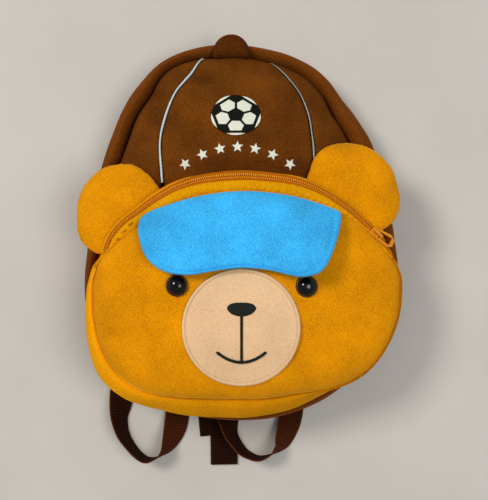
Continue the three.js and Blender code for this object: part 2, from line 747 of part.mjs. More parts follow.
// An extruded shape with shared corners
function extrude(shape, depth) {
  const { shape: outline, holes } = shape.extractPoints(1);
  if (THREE.ShapeUtils.isClockWise(outline)) outline.reverse();
  holes.filter((hole) => !THREE.ShapeUtils.isClockWise(hole)).forEach((hole) => hole.reverse());
  const loops = [outline, ...holes];
  const points = loops.flat();
  const count = points.length;
  const index = THREE.ShapeUtils.triangulateShape(outline, holes)
    .flatMap(([a, b, c]) => [c, b, a, a + count, b + count, c + count]);
  let start = 0;
  for (const loop of loops) {
    loop.forEach((_, i) => {
      const [a, b] = [start + i, start + ((i + 1) % loop.length)];
      index.push(a, b, b + count, a, b + count, a + count);
    });
    start += loop.length;
  }
  const positions = [0, depth].flatMap((z) => points.flatMap((point) => [point.x, point.y, z]));
  return facingOut(meshOf(positions, index));
}

// The bear

// Each ear is a stuffed disc behind the pocket, trimmed along the zip and where it lies on the crown
function addEars(crownSpace) {
  const pocketEdge = pocketAngles.map((degrees) => {
    const front = pocketFront(degrees);
    return spot(front.angle, widestReach(front) + 1.5 * GAP, 0);
  });
  const pocketSpace = toManifold(prism(pocketEdge, 30, 130));
  for (const { name, x, y, z, radius, facing } of EARS) {
    const profile = [[0, -1], [0.55, -0.9], [0.85, -0.6], [0.97, -0.25], [1, 0]];
    const lower = profile.map(([r, h]) => new THREE.Vector2(r * radius, h * EAR_HALF_THICK));
    const upper = lower.slice(0, -1).reverse().map((point) => new THREE.Vector2(point.x, -point.y));
    const rings = [...lower, ...upper].map((point) => {
      const steps = point.x === 0 ? 1 : EAR_STEPS;
      return Array.from({ length: steps }, (_, i) => {
        const turn = (2 * Math.PI * i) / EAR_STEPS;
        return new THREE.Vector3(point.x * Math.cos(turn), point.x * Math.sin(turn), point.y);
      });
    });
    const tiltAxis = new THREE.Vector3(-Math.sin(degToRad(facing)), Math.cos(degToRad(facing)), 0);
    const turned = new THREE.Quaternion().setFromAxisAngle(tiltAxis, degToRad(EAR_TILT));
    const disc = facingOut(loft(rings)).applyQuaternion(turned).translate(x, y, z);
    const ear = toManifold(disc).subtract(pocketSpace).subtract(crownSpace);
    addPiece(bag, name, fromManifold(ear), 'orange');
  }
}

function visorBase(x, y) {
  const outward = clamp((VISOR.seamY - y) / VISOR.depth, 0, 1);
  const lift = VISOR.lift + VISOR.rightLift * smoothstep(x, 10, 70);
  return faceHeight(x, y) + 2 * GAP + lift * outward ** 1.5;
}

function addVisor() {
  const edge = VISOR_OUTLINE.map(({ x, y }) => new THREE.Vector3(x, y, 0));
  const outline = new THREE.CatmullRomCurve3(edge, true).getPoints(38).slice(0, 38);
  const top = (x, y, inward) => visorBase(x, y) + lerp(VISOR.edge, VISOR.thick, dome(2.2 * inward));
  const pole = { x: VISOR.poleX, y: VISOR.poleY };
  addPiece(bag, 'visor', pad(outline, pole, [1, 0.6, 0.28, 0.1, 0], visorBase, top), 'blue');
}

// The muzzle's pad has a rolled rim, a stitched line inside it and a low crown
function muzzleTop(x, y) {
  const inward = 1 - Math.hypot(x - MUZZLE.x, y - MUZZLE.y) / MUZZLE.radius;
  const rim = 1.5 * smoothstep(inward, 0, 0.03) - 0.6 * smoothstep(inward, 0.05, 0.09);
  const crown = (MUZZLE.rise - 1.7) * smoothstep(inward, 0.09, 0.75);
  return faceHeight(x, y) + GAP + 0.8 + rim + crown;
}

function addMuzzle() {
  const ground = (x, y) => faceHeight(x, y) + GAP;
  const outline = circle(MUZZLE.x, MUZZLE.y, MUZZLE.radius, 32);
  const rows = [1, 0.6, 0.3, 0.1, 0.04, 0];
  addPiece(bag, 'muzzle', pad(outline, MUZZLE, rows, ground, muzzleTop), 'peach');

  const noseCurve = new THREE.CatmullRomCurve3([
    [-1, 0.2], [-0.55, 0.85], [0, 1], [0.55, 0.85], [1, 0.2], [0.62, -0.55], [0, -1], [-0.62, -0.55],
  ].map(([x, y]) => (
    new THREE.Vector3(NOSE.x + x * NOSE.half, NOSE.y + y * (y > 0 ? NOSE.up : NOSE.down), 0)
  )), true);
  const noseOutline = noseCurve.getPoints(20).slice(0, 20).reverse();
  const noseGround = (x, y) => muzzleTop(x, y) + GAP;
  const noseTop = (x, y, inward) => noseGround(x, y) + NOSE.rise * lerp(0.5, 1, smoothstep(inward, 0, 0.3));
  addPiece(bag, 'nose', pad(noseOutline, NOSE, [1, 0.6, 0.25, 0], noseGround, noseTop), 'thread');
}

// The mouth is one line of raised thread: down from the nose, with a smile across its foot
function addMouth() {
  const stitch = (points) => {
    const line = points.map(({ x, y }) => (
      new THREE.Vector3(x, y, muzzleTop(x, y) + GAP + MOUTH.rise / 2 + 0.1)
    ));
    return toManifold(sweep(stationsAlong(line), rectangle(MOUTH.width, MOUTH.rise)));
  };
  const steps = Array.from({ length: 9 }, (_, i) => i / 8);
  const underNose = NOSE.y - NOSE.down - GAP;
  const philtrum = steps.map((share) => ({ x: MOUTH.x, y: lerp(underNose, MOUTH.low, share) }));
  const smile = steps.map((share) => {
    const x = lerp(MOUTH.left, MOUTH.right, share);
    return { x, y: lerp(MOUTH.low, MOUTH.corner, (2 * share - 1) ** 2) };
  });
  addPiece(bag, 'mouth', fromManifold(stitch(philtrum).add(stitch(smile))), 'thread');
}

// Domed eyes stand square on the face
function addEyes() {
  const { flange, height } = EYE;
  const profile = [[1, 0], [1, flange], [0.9, flange + 0.3], [0.82, 3], [0.6, 4.7], [0.3, height]];
  const ring = ([share, z]) => (
    circle(0, 0, EYE.radius * share, 16).map((point) => new THREE.Vector3(point.x, point.y, z))
  );
  const rings = [[new THREE.Vector3()], ...profile.map(ring), [new THREE.Vector3(0, 0, height + 0.35)]];
  const step = 2;
  for (const { name, x, y } of EYES) {
    const slopeX = (faceHeight(x + step, y) - faceHeight(x - step, y)) / (2 * step);
    const slopeY = (faceHeight(x, y + step) - faceHeight(x, y - step)) / (2 * step);
    const off = new THREE.Vector3(-slopeX, -slopeY, 1).normalize();
    const eye = addPiece(bag, name, facingOut(loft(rings)), 'glossy');
    eye.quaternion.setFromUnitVectors(new THREE.Vector3(0, 0, 1), off);
    eye.position.set(x, y, faceHeight(x, y)).addScaledVector(off, GAP);
  }
}

// Straps

// A webbing loop: each ruling leans to -X by its rise, and its lower edge lies on the floor
function addLoops() {
  const steps = 34;
  for (const { name, route } of LOOPS) {
    const through = (points) => new THREE.CatmullRomCurve3(points, false, 'centripetal');
    const path = through(route.map(({ x, y }) => new THREE.Vector3(x, y, 0)));
    const angles = through(route.map(({ rise, floor }) => new THREE.Vector3(rise, floor, 0)));
    const stations = Array.from({ length: steps + 1 }, (_, i) => {
      const at = path.getPoint(i / steps);
      const along = path.getTangent(i / steps);
      const { x: rise, y: floor } = angles.getPoint(i / steps);
      const lean = degToRad(Math.max(rise, 0));
      const across = new THREE.Vector3(-Math.cos(lean), 0, Math.sin(lean));
      across.addScaledVector(along, -along.dot(across)).normalize();
      const up = across.clone().cross(along);
      const halfHeight = (WEB.width * Math.abs(across.z) + WEB.thick * Math.abs(up.z)) / 2;
      return { at: at.setZ(Math.max(floor, 0) + halfHeight), across, up };
    });
    addPiece(bag, name, sweep(stations, rectangle(WEB.width, WEB.thick)), 'webbing');
  }
}

// The free tail lies flat, its end hemmed to a double layer
function addTail() {
  const ribbon = (from, to, width, thick) => {
    const ends = [from, to].map(({ x, y }) => new THREE.Vector3(x, y, thick / 2));
    return toManifold(sweep(stationsAlong(ends), rectangle(width, thick)));
  };
  const run = ribbon(TAIL.top, TAIL.low, WEB.width, WEB.thick);
  const hem = ribbon(TAIL.hemTop, TAIL.hemLow, TAIL.hemWidth, WEB.thick * TAIL.hemLayers);
  addPiece(bag, 'web_tail', fromManifold(run.add(hem)), 'webbing');
}

function addShoulderStraps() {
  for (const [side, sign] of [['left', -1], ['right', 1]]) {
    const route = SHOULDER_ROUTE.map(({ x, y }) => new THREE.Vector3(sign * x, y, SHOULDER.thick / 2));
    const points = new THREE.CatmullRomCurve3(route).getPoints(14);
    const strap = sweep(stationsAlong(points), rectangle(SHOULDER.width, SHOULDER.thick));
    addPiece(bag, `shoulder_strap_${side}`, strap, 'brown');

    const { width, length, bar, thick, z } = ADJUSTER;
    const window = (half, low, high) => shapeOf([[-half, low], [half, low], [half, high], [-half, high]]);
    const plate = window(width / 2, -length / 2, length / 2);
    const slotHalf = width / 2 - bar;
    plate.holes.push(window(slotHalf, -length / 2 + bar, -bar / 2));
    plate.holes.push(window(slotHalf, bar / 2, length / 2 - bar));
    const adjuster = addPiece(bag, `strap_adjuster_${side}`, extrude(plate, thick), 'webbing');
    adjuster.position.set(sign * ADJUSTER.x, ADJUSTER.y, z);
  }
}

const crownSpace = underCrown();
addMainBag();
addCrown();
addPiping();
addCapDetails();
addMainZip();
addPocket(crownSpace);
addFacing();
addZip();
addSlider();
addEars(crownSpace);
addVisor();
addMuzzle();
addMouth();
addEyes();
addLoops();
addTail();
addShoulderStraps();

// The origin is at the middle of the bag's footprint, on the floor
bag.updateMatrixWorld(true);
const box = new THREE.Box3().setFromObject(bag, true);
const middle = box.getCenter(new THREE.Vector3());
bag.position.set(-middle.x, -middle.y, -box.min.z);

export default bag;
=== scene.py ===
"""Looks for a plush toddler backpack: a bear's face under a peaked cap, lying on its back.

Shapes are in millimetres in the bag's own plan, as in the part's source, and are placed in the row frame
by `place`. +X is right in front view, +Y is the bag's top and +Z is its front.
"""

import math

import bpy
import numpy as np
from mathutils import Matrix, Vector


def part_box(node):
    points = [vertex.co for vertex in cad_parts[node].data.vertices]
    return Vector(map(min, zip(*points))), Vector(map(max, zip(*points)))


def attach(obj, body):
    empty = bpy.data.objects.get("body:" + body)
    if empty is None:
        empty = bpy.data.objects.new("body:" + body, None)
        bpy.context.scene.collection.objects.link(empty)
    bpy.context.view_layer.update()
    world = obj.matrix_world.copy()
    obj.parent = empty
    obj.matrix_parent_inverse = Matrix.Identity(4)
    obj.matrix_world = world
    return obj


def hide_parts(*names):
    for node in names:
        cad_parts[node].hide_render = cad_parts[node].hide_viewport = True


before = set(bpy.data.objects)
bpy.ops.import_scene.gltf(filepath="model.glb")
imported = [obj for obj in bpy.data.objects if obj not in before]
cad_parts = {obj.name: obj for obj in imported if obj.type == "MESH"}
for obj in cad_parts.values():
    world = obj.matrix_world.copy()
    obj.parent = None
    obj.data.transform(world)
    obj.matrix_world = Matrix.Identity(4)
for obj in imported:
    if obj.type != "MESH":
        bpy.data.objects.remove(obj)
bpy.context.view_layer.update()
BAG = "bag"
PULL = "pull"
MM = 1000

# Where the bag's own plan lies in the row frame
MUZZLE = {"x": 1.0, "y": -39.5, "radius": 42.5, "rise": 3.6}
muzzle_low, muzzle_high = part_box("muzzle")
SHIFT = np.array([
    (muzzle_low.x + muzzle_high.x) * MM / 2 - MUZZLE["x"],
    (muzzle_low.y + muzzle_high.y) * MM / 2 - MUZZLE["y"],
    0.0,
])

GAP = 0.4
RIM_WALL = 2.0
PLUSH_WALL = 2.4
FACING_WALL = 1.8
CENTRE = np.array([0.0, -18.0])

# Outlines in front view: distance from the centre by direction, anticlockwise in degrees from +X
OUTLINES = np.array([
    # direction, rim, pocket, face
    (0, 126, 122.5, 119),
    (10, 130, 124, 118.5),
    (22, 135, 121, 106.5),
    (35, 146, 112, 97.5),
    (50, 166.5, 104, 89.5),
    (62, 182, 100, 85),
    (72, 198, 98, 81.5),
    (82, 204.5, 97, 79.5),
    (97, 208, 97, 79),
    (108, 204, 98, 80.5),
    (118, 189, 100, 82.5),
    (130, 166, 104, 85.5),
    (145, 144, 108, 91.5),
    (160, 131.5, 113, 102.5),
    (172, 127, 116, 108),
    (185, 124.5, 118.5, 109.5),
    (198, 124.5, 121.5, 110),
    (210, 122, 122, 108),
    (222, 117, 115.5, 101.5),
    (235, 108.5, 104.5, 89.5),
    (250, 101, 96, 79.5),
    (267, 98, 91.5, 75),
    (285, 99.3, 91.5, 77),
    (300, 102.6, 94.5, 82),
    (315, 107.2, 100, 93),
    (330, 113.4, 110, 106.5),
    (345, 120.4, 118.5, 114.5),
])
COLUMN = {"rim": 1, "pocket": 2, "face": 3}

BACK_Z = 4.8
PANEL_EDGE_Z = 31.0
CROWN_RISE = 49.0
POCKET_BACK_RISE = 27.0
CROWN_FOOT = (36.0, 104.0)
CROWN_SPLIT_Y = 42.0
SEAM_LOW_Z = 68.0
SEAM_HIGH_Z = 82.0
FACE_POLE_Z = 93.0
POCKET_BULGE_Z = 52.0
GUSSET_BASE_INSET = 6.0
ZIP_BELOW_SEAM = 4.0
ZIP_RIGHT_END = 22.0
ZIP_LEFT_END = 161.0
ZIP_TAB = 9.0
ZIP_FROM_FACE = (6.4, 11.0)
# Half the width of zip tape that shows, at its ends and in the middle
TAPE_SHOWN = (1.1, 3.0)

# Distance from the rim's outline in to the groove, by direction above the widest line
GROOVE_DIRECTION = (-90, 0, 50, 60, 70, 80, 90)
GROOVE_INSET = (9, 10, 23, 22, 20.5, 17, 14.5)
GROOVE_LEAN = 6.0
# How much further out the stuffed crown rolls over the groove, by direction
BULGE_DIRECTION = (42, 54, 58, 62, 68, 74, 80, 86, 97, 102, 107, 110, 113, 116)
BULGE = (0, 4.4, 5.2, 5.0, 6.6, 5.6, 4.0, 2.0, 2.0, 4.0, 5.4, 4.4, 1.0, 0)
# How much wider than its seam the stuffed face is, by direction
WIDER_DIRECTION = (-90, -62, -45, -36, -20, 0, 10, 16, 24, 32, 42, 54, 158, 163, 167.5, 172.5, 180, 190, 270)
WIDER = (0, 0, 1.2, 1.4, 0.6, 0, 0, 1.6, 4.0, 3.6, 1.8, 0, 0, 1.4, 2.4, 1.6, 0.8, 0, 0)
# How far the zip bends off its even line at the left end, by direction
BEND_DIRECTION = (0, 120, 139, 148.5, 155, 161, 170, 180, 360)
BEND = (0, 0, 0.5, 2.0, 0, -3.6, -3.6, 0, 0)
# The two piping lines on the crown, from the pocket up to the groove
PIPING_Y = (36, 78, 106, 128, 144, 159, 171, 195)
PIPING_X = {
    "left": (-57, -60, -61, -55.5, -48.5, -38, -32, -16),
    "right": (55, 57, 55.5, 52, 45.5, 35, 25, 6),
}
PIPING_SLOT = 1.2

# Soft unevenness of each cloth: height, length and seed of each layer
SLACK = {
    "rim_roll": [(0.6, 70, 3), (0.2, 24, 4)],
    "rim": [(0.22, 34, 5)],
    "crown": [(0.9, 48, 11), (0.35, 19, 12)],
    "button": [(0.25, 11, 31)],
    "face_seam": [(0.3, 11, 41)],
    "face": [(0.7, 55, 42), (0.25, 21, 43)],
    "gusset": [(0.55, 48, 51), (0.12, 14, 52)],
    "gathers": [(1.4, 30, 61)],
    "ear": [(0.4, 24, 71)],
    "visor": [(0.6, 42, 81), (0.25, 16, 82)],
    "muzzle": [(0.25, 20, 91)],
}
# Mean distances from the centre, which turn directions into lengths along an edge
RIM_RADIUS = 150
FACE_RADIUS = 100
GUSSET_RADIUS = 105


# Numbers

def smoothstep(value, low, high):
    share = np.clip((value - low) / (high - low), 0, 1)
    return share * share * (3 - 2 * share)


def lerp(a, b, share):
    return a + (b - a) * share


def bell(offset, width):
    return np.exp(-(offset / width) ** 2)


def dome(inward):
    """The height of a quarter circle, from 0 at its edge to 1."""
    return np.sqrt(np.maximum(1 - (1 - np.clip(inward, 0, 1)) ** 2, 0))


def full_turn(count):
    return np.linspace(0, 2 * math.pi, count, endpoint=False)


def hermite(keys, values, at, period=None):
    """A smooth line through rows of a table, at any number of places."""
    keys = np.asarray(keys, float)
    values = np.asarray(values, float)
    if period:
        keys = np.concatenate([keys[-2:] - period, keys, keys[:3] + period])
        values = np.concatenate([values[-2:], values, values[:3]])
        at = np.mod(at, period)
    slopes = np.gradient(values, keys)
    if period:
        slopes[1:-1] = (values[2:] - values[:-2]) / (keys[2:] - keys[:-2])
    here = np.clip(np.searchsorted(keys, at, side="right") - 1, 0, len(keys) - 2)
    span = keys[here + 1] - keys[here]
    share = (at - keys[here]) / span
    bend = share * (1 - share) * ((1 - share) * slopes[here] - share * slopes[here + 1]) * span
    return lerp(values[here], values[here + 1], share * share * (3 - 2 * share)) + bend


def spline(rows, count):
    """A smooth line through rows of numbers, by number of row."""
    rows = np.asarray(rows, float)
    keys = np.arange(len(rows))
    at = np.linspace(0, len(rows) - 1, count)
    return np.stack([hermite(keys, rows[:, i], at) for i in range(rows.shape[1])], 1)


def run_along(path):
    """Length along a path at each of its points."""
    return np.concatenate([[0], np.cumsum(np.linalg.norm(np.diff(path, axis=0), axis=1))])


def even(path, count):
    """A path divided evenly by length."""
    run = run_along(path)
    at = np.linspace(0, run[-1], count)
    return np.stack([np.interp(at, run, path[:, i]) for i in range(path.shape[1])], 1)


def waves(x, y, length, seed):
    """A soft random field of about -1 to 1, with lumps of about that length."""
    rng = np.random.default_rng(seed)
    total = np.zeros_like(np.asarray(x, float))
    for _ in range(7):
        turn = rng.uniform(0, 2 * math.pi)
        pitch = 2 * math.pi / (length * rng.uniform(0.7, 1.5))
        total = total + np.sin(pitch * (x * math.cos(turn) + y * math.sin(turn)) + rng.uniform(0, 6.28))
    return total / 3.2


def slack(cloth, x, y):
    return sum(height * waves(x, y, length, seed) for height, length, seed in SLACK[cloth])


# The bag's plan and heights, as in the part's source

def reach(column, angle):
    return hermite(OUTLINES[:, 0], OUTLINES[:, COLUMN[column]], np.degrees(angle), 360)


def spot(angle, distance):
    return CENTRE[0] + distance * np.cos(angle), CENTRE[1] + distance * np.sin(angle)


def polar(x, y):
    dx = x - CENTRE[0]
    dy = y - CENTRE[1]
    return np.arctan2(dy, dx), np.hypot(dx, dy)


def turned(degrees):
    """The same direction between -90 and 270, so that no jump falls on the zip."""
    return np.mod(degrees + 90, 360) - 90


def groove_inset(angle):
    direction = np.degrees(np.arcsin(np.clip(np.sin(angle), -1, 1)))
    lean = GROOVE_LEAN * np.cos(angle) * smoothstep(direction, 20, 50)
    bulge = np.interp(turned(np.degrees(angle)), BULGE_DIRECTION, BULGE)
    return np.interp(direction, GROOVE_DIRECTION, GROOVE_INSET) + lean - bulge


def panel_reach(angle):
    return reach("rim", angle) - groove_inset(angle)


def crown_height(x, y):
    angle, distance = polar(x, y)
    rise = lerp(POCKET_BACK_RISE, CROWN_RISE, smoothstep(y, *CROWN_FOOT))
    return PANEL_EDGE_Z + rise * dome(1 - distance / panel_reach(angle))


def face_edge(angle):
    return reach("face", angle) + np.interp(turned(np.degrees(angle)), WIDER_DIRECTION, WIDER)


def seam_height(angle):
    edge_y = CENTRE[1] + reach("face", angle) * np.sin(angle)
    return lerp(SEAM_LOW_Z, SEAM_HIGH_Z, smoothstep(edge_y, -20, 60))


def face_height(x, y):
    angle, distance = polar(x, y)
    return lerp(seam_height(angle), FACE_POLE_Z, dome(1 - distance / face_edge(angle)))


def zip_bend(angle):
    return hermite(BEND_DIRECTION, BEND, np.mod(np.degrees(angle), 360))


def zip_reach(angle):
    even_line = reach("face", angle) + lerp(*ZIP_FROM_FACE, smoothstep(np.sin(angle), 0.35, 0.95))
    return even_line + zip_bend(angle)


def zip_height(angle):
    return seam_height(angle) - ZIP_BELOW_SEAM


def from_zip_end(degrees):
    """Degrees in from the nearer end of the zip, below 0 beyond it."""
    along = turned(degrees)
    return np.minimum(along - ZIP_RIGHT_END, ZIP_LEFT_END - along)


def zip_share(degrees):
    return smoothstep(from_zip_end(degrees), -ZIP_TAB, 0)


def tape_half(degrees):
    """Half the width of zip tape that shows: the pocket's edges close over it towards both ends."""
    return lerp(*TAPE_SHOWN, smoothstep(from_zip_end(degrees), -10, 75))


def pocket_front(degrees):
    """The line where the gusset ends: along the zip's outer edge, and along the face's seam elsewhere."""
    angle = np.radians(degrees)
    share = zip_share(degrees)
    distance = lerp(face_edge(angle) + GAP, zip_reach(angle) + tape_half(degrees) + 0.1, share)
    z = lerp(seam_height(angle), zip_height(angle) - 1.6, share)
    return angle, distance, z, share


def piping_x(side, y):
    return hermite(PIPING_Y, PIPING_X[side], y)


# Meshes: a shape is a pair of points and faces

def place(points):
    """Plan millimetres to the row frame's metres."""
    return (np.asarray(points, float).reshape(-1, 3) + SHIFT) / MM


def finished(name, mesh, material, body, node):
    """An object made of a mesh, which stands for a CAD node if one is named."""
    mesh.materials.clear()
    mesh.materials.append(material)
    mesh.shade_smooth()
    obj = bpy.data.objects.new(name, mesh)
    bpy.context.scene.collection.objects.link(obj)
    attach(obj, body)
    if node:
        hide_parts(node)
    return obj


def piece(name, shape, material, node=None):
    points, faces = shape
    mesh = bpy.data.meshes.new(name)
    mesh.from_pydata(place(points).tolist(), [], [tuple(map(int, face)) for face in faces])
    mesh.validate()
    return finished(name, mesh, material, BAG, node)


def from_solid(node, name, modifiers, material, body):
    """A piece made from a CAD node's own solid by modifiers, each a kind and its settings."""
    source = bpy.data.objects.new(name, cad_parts[node].data.copy())
    bpy.context.scene.collection.objects.link(source)
    for kind, settings in modifiers:
        modifier = source.modifiers.new(kind, kind)
        for setting, value in settings.items():
            setattr(modifier, setting, value)
    graph = bpy.context.evaluated_depsgraph_get()
    mesh = bpy.data.meshes.new_from_object(source.evaluated_get(graph))
    bpy.data.objects.remove(source)
    mesh.name = name
    return finished(name, mesh, material, body, node)


def label(obj, name, values):
    """A value at each point, for the material."""
    attribute = obj.data.attributes.new(name, "FLOAT", "POINT")
    attribute.data.foreach_set("value", np.asarray(values, np.float32))


def face_out(faces, points):
    """The faces turned so that the closed mesh faces outwards."""
    points = np.asarray(points, float).reshape(-1, 3)
    volume = 0.0
    for face in faces:
        for i in range(1, len(face) - 1):
            volume += points[face[0]] @ np.cross(points[face[i]], points[face[i + 1]])
    return faces if volume > 0 else [tuple(reversed(face)) for face in faces]


def grid_faces(rows, columns, closed, start=0, flip=False):
    faces = []
    for r in range(rows - 1):
        for c in range(columns if closed else columns - 1):
            n = (c + 1) % columns
            quad = (
                start + r * columns + c, start + r * columns + n,
                start + (r + 1) * columns + n, start + (r + 1) * columns + c,
            )
            faces.append(tuple(reversed(quad)) if flip else quad)
    return faces


def grid_normals(grid, closed):
    """Unit normals of a grid of points, one for each point."""
    along = np.gradient(grid, axis=0)
    if closed:
        wrapped = np.concatenate([grid[:, -1:], grid, grid[:, :1]], axis=1)
        across = (wrapped[:, 2:] - wrapped[:, :-2]) / 2
    else:
        across = np.gradient(grid, axis=1)
    normal = np.cross(across, along)
    return normal / np.maximum(np.linalg.norm(normal, axis=2, keepdims=True), 1e-9)


def two_sided(front, back, closed, pole=False):
    """A closed mesh between two grids of the same layout. With a pole the last row closes to its middle."""
    rows, columns = front.shape[:2]
    count = rows * columns
    points = [front.reshape(-1, 3), back.reshape(-1, 3)]
    faces = grid_faces(rows, columns, closed) + grid_faces(rows, columns, closed, count, True)

    def strip(row):
        for c in range(columns if closed else columns - 1):
            a = row * columns + c
            b = row * columns + (c + 1) % columns
            yield (a, b, b + count, a + count)

    faces += [tuple(reversed(face)) for face in strip(0)]
    if pole:
        points.append(np.array([front[-1].mean(0), back[-1].mean(0)]))
        for a, b, low_b, low_a in strip(rows - 1):
            faces += [(a, b, 2 * count), (low_b, low_a, 2 * count + 1)]
    else:
        faces += list(strip(rows - 1))
    if not closed:
        for r in range(rows - 1):
            a = r * columns
            b = a + columns
            faces.append((b, b + count, a + count, a))
            a += columns - 1
            b += columns - 1
            faces.append((a + count, b + count, b, a))
    points = np.concatenate(points)
    return points, face_out(faces, points)


def wall(front, thickness, closed, pole=False):
    """A cloth wall behind a front grid."""
    normal = grid_normals(front, closed)
    middle = np.array([CENTRE[0], CENTRE[1], 30.0])
    if np.mean(np.sum(normal * (front - middle), axis=2)) < 0:
        normal = -normal
    return two_sided(front, front - normal * thickness, closed, pole)


def pad(outline, pole, rows, low, high):
    """A pad whose rings shrink from an outline to a pole, between two heights."""
    outline = np.asarray(outline, float)
    pole = np.asarray(pole, float)
    under = []
    over = []
    for inward in rows:
        x, y = lerp(outline, pole, inward).T
        over.append(np.stack([x, y, high(x, y, inward)], 1))
        under.append(np.stack([x, y, low(x, y, inward)], 1))
    return two_sided(np.array(over), np.array(under), True, True)


def closed_curve(points, count):
    """A closed centripetal line through points, evenly divided by number."""
    points = np.asarray(points, float)
    total = len(points)
    result = []
    for i in range(count):
        at = i * total / count
        k = int(at)
        share = at - k
        p = [points[(k + step) % total] for step in (-1, 0, 1, 2)]
        gaps = [max(np.linalg.norm(p[j + 1] - p[j]) ** 0.5, 1e-4) for j in range(3)]
        one = (p[1] - p[0]) / gaps[0] - (p[2] - p[0]) / (gaps[0] + gaps[1]) + (p[2] - p[1]) / gaps[1]
        two = (p[2] - p[1]) / gaps[1] - (p[3] - p[1]) / (gaps[1] + gaps[2]) + (p[3] - p[2]) / gaps[2]
        s2 = share ** 2
        s3 = share ** 3
        result.append(
            (2 * s3 - 3 * s2 + 1) * p[1] + (s3 - 2 * s2 + share) * one * gaps[1]
            + (3 * s2 - 2 * s3) * p[2] + (s3 - s2) * two * gaps[1]
        )
    return np.array(result)


def closed_rings(rings, ends):
    """A closed mesh of rings of points, with a point at each end."""
    stations, around = rings.shape[:2]
    count = stations * around
    faces = grid_faces(stations, around, True)
    for c in range(around):
        n = (c + 1) % around
        faces.append((n, c, count))
        faces.append((count - around + c, count - around + n, count + 1))
    points = np.concatenate([rings.reshape(-1, 3), ends])
    return points, face_out(faces, points)


def tube(path, across, up, section):
    """A closed sweep: section rows of (across, up) at each station, which may change along the path."""
    rings = (
        path[:, None, :]
        + section[:, :, :1] * across[:, None, :]
        + section[:, :, 1:] * up[:, None, :]
    )
    return closed_rings(rings, np.array([rings[0].mean(0), rings[-1].mean(0)]))


def frames_along(path):
    """Level across and up directions along a path that lies near level ground."""
    along = np.gradient(path, axis=0)
    along /= np.linalg.norm(along, axis=1, keepdims=True)
    across = np.cross(along, (0, 0, 1))
    across /= np.linalg.norm(across, axis=1, keepdims=True)
    return across, np.cross(across, along)


def ring_section(radius, around):
    turn = full_turn(around)
    return radius * np.stack([np.cos(turn), np.sin(turn)], 1)


def merged(shapes):
    points = []
    faces = []
    start = 0
    for shape_points, shape_faces in shapes:
        points.append(shape_points)
        faces += [tuple(i + start for i in face) for face in shape_faces]
        start += len(shape_points)
    return np.concatenate(points), faces


# Materials

def srgb(red, green, blue):
    def linear(value):
        value /= 255
        return value / 12.92 if value <= 0.04045 else ((value + 0.055) / 1.055) ** 2.4
    return (linear(red), linear(green), linear(blue), 1.0)


def shade(colour, share):
    return (*(channel * share for channel in colour[:3]), 1.0)


def grey(value):
    return (value, value, value, 1.0)


class Material:
    """A node material with short helpers."""

    def __init__(self, name, roughness, specular=0.08):
        self.material = bpy.data.materials.new(name)
        self.material.use_nodes = True
        self.nodes = self.material.node_tree.nodes
        self.links = self.material.node_tree.links
        self.shader = self.nodes["Principled BSDF"]
        self.place = self.nodes.new("ShaderNodeTexCoord").outputs["Object"]
        self.set(self.shader, {"Roughness": roughness, "Specular IOR Level": specular})

    def set(self, node, values):
        for name, value in values.items():
            node.inputs[name].default_value = value

    def mapped(self, setting, value):
        mapping = self.nodes.new("ShaderNodeMapping")
        self.set(mapping, {setting: value})
        self.links.new(self.place, mapping.inputs["Vector"])
        return mapping.outputs["Vector"]

    def noise(self, scale, detail=3.0, rough=0.55, stretch=None):
        node = self.nodes.new("ShaderNodeTexNoise")
        self.set(node, {"Scale": scale, "Detail": detail, "Roughness": rough})
        source = self.mapped("Scale", stretch) if stretch else self.place
        self.links.new(source, node.inputs["Vector"])
        return node.outputs["Fac"]

    def ramp(self, factor, stops):
        node = self.nodes.new("ShaderNodeValToRGB")
        ramp = node.color_ramp
        ramp.elements[0].position, ramp.elements[0].color = stops[0]
        ramp.elements[1].position, ramp.elements[1].color = stops[-1]
        for position, colour in stops[1:-1]:
            ramp.elements.new(position).color = colour
        self.links.new(factor, node.inputs["Fac"])
        return node.outputs["Color"]

    def mix(self, kind, factor, a, b):
        node = self.nodes.new("ShaderNodeMix")
        node.data_type = "RGBA"
        node.blend_type = kind
        for socket, value in ((node.inputs[0], factor), (node.inputs[6], a), (node.inputs[7], b)):
            if hasattr(value, "is_linked"):
                self.links.new(value, socket)
            else:
                socket.default_value = value
        return node.outputs[2]

    def attribute(self, name):
        node = self.nodes.new("ShaderNodeAttribute")
        node.attribute_name = name
        return node.outputs["Fac"]

    def bump(self, heights):
        """A chain of (height, strength, distance) bumps."""
        normal = None
        for height, strength, distance in heights:
            node = self.nodes.new("ShaderNodeBump")
            self.set(node, {"Strength": strength, "Distance": distance})
            self.links.new(height, node.inputs["Height"])
            if normal:
                self.links.new(normal, node.inputs["Normal"])
            normal = node.outputs["Normal"]
        self.links.new(normal, self.shader.inputs["Normal"])

    def colour(self, socket):
        self.links.new(socket, self.shader.inputs["Base Color"])

    def sheen(self, weight, roughness, tint):
        self.set(self.shader, {"Sheen Weight": weight, "Sheen Roughness": roughness, "Sheen Tint": tint})


# The tint that the "shaded" value multiplies in: painted shade in hollows, creases and grooves, and on sides
# turned from the light
PAINTED_SHADE_TINT = shade((1, 0.85, 0.7), 0.3)
PAINTED_FURROW_SHADE = grey(0.3)
GRAIN_STOPS = [(0.32, grey(0.21)), (0.68, grey(0.79))]
THREAD_PITCH = 0.00055


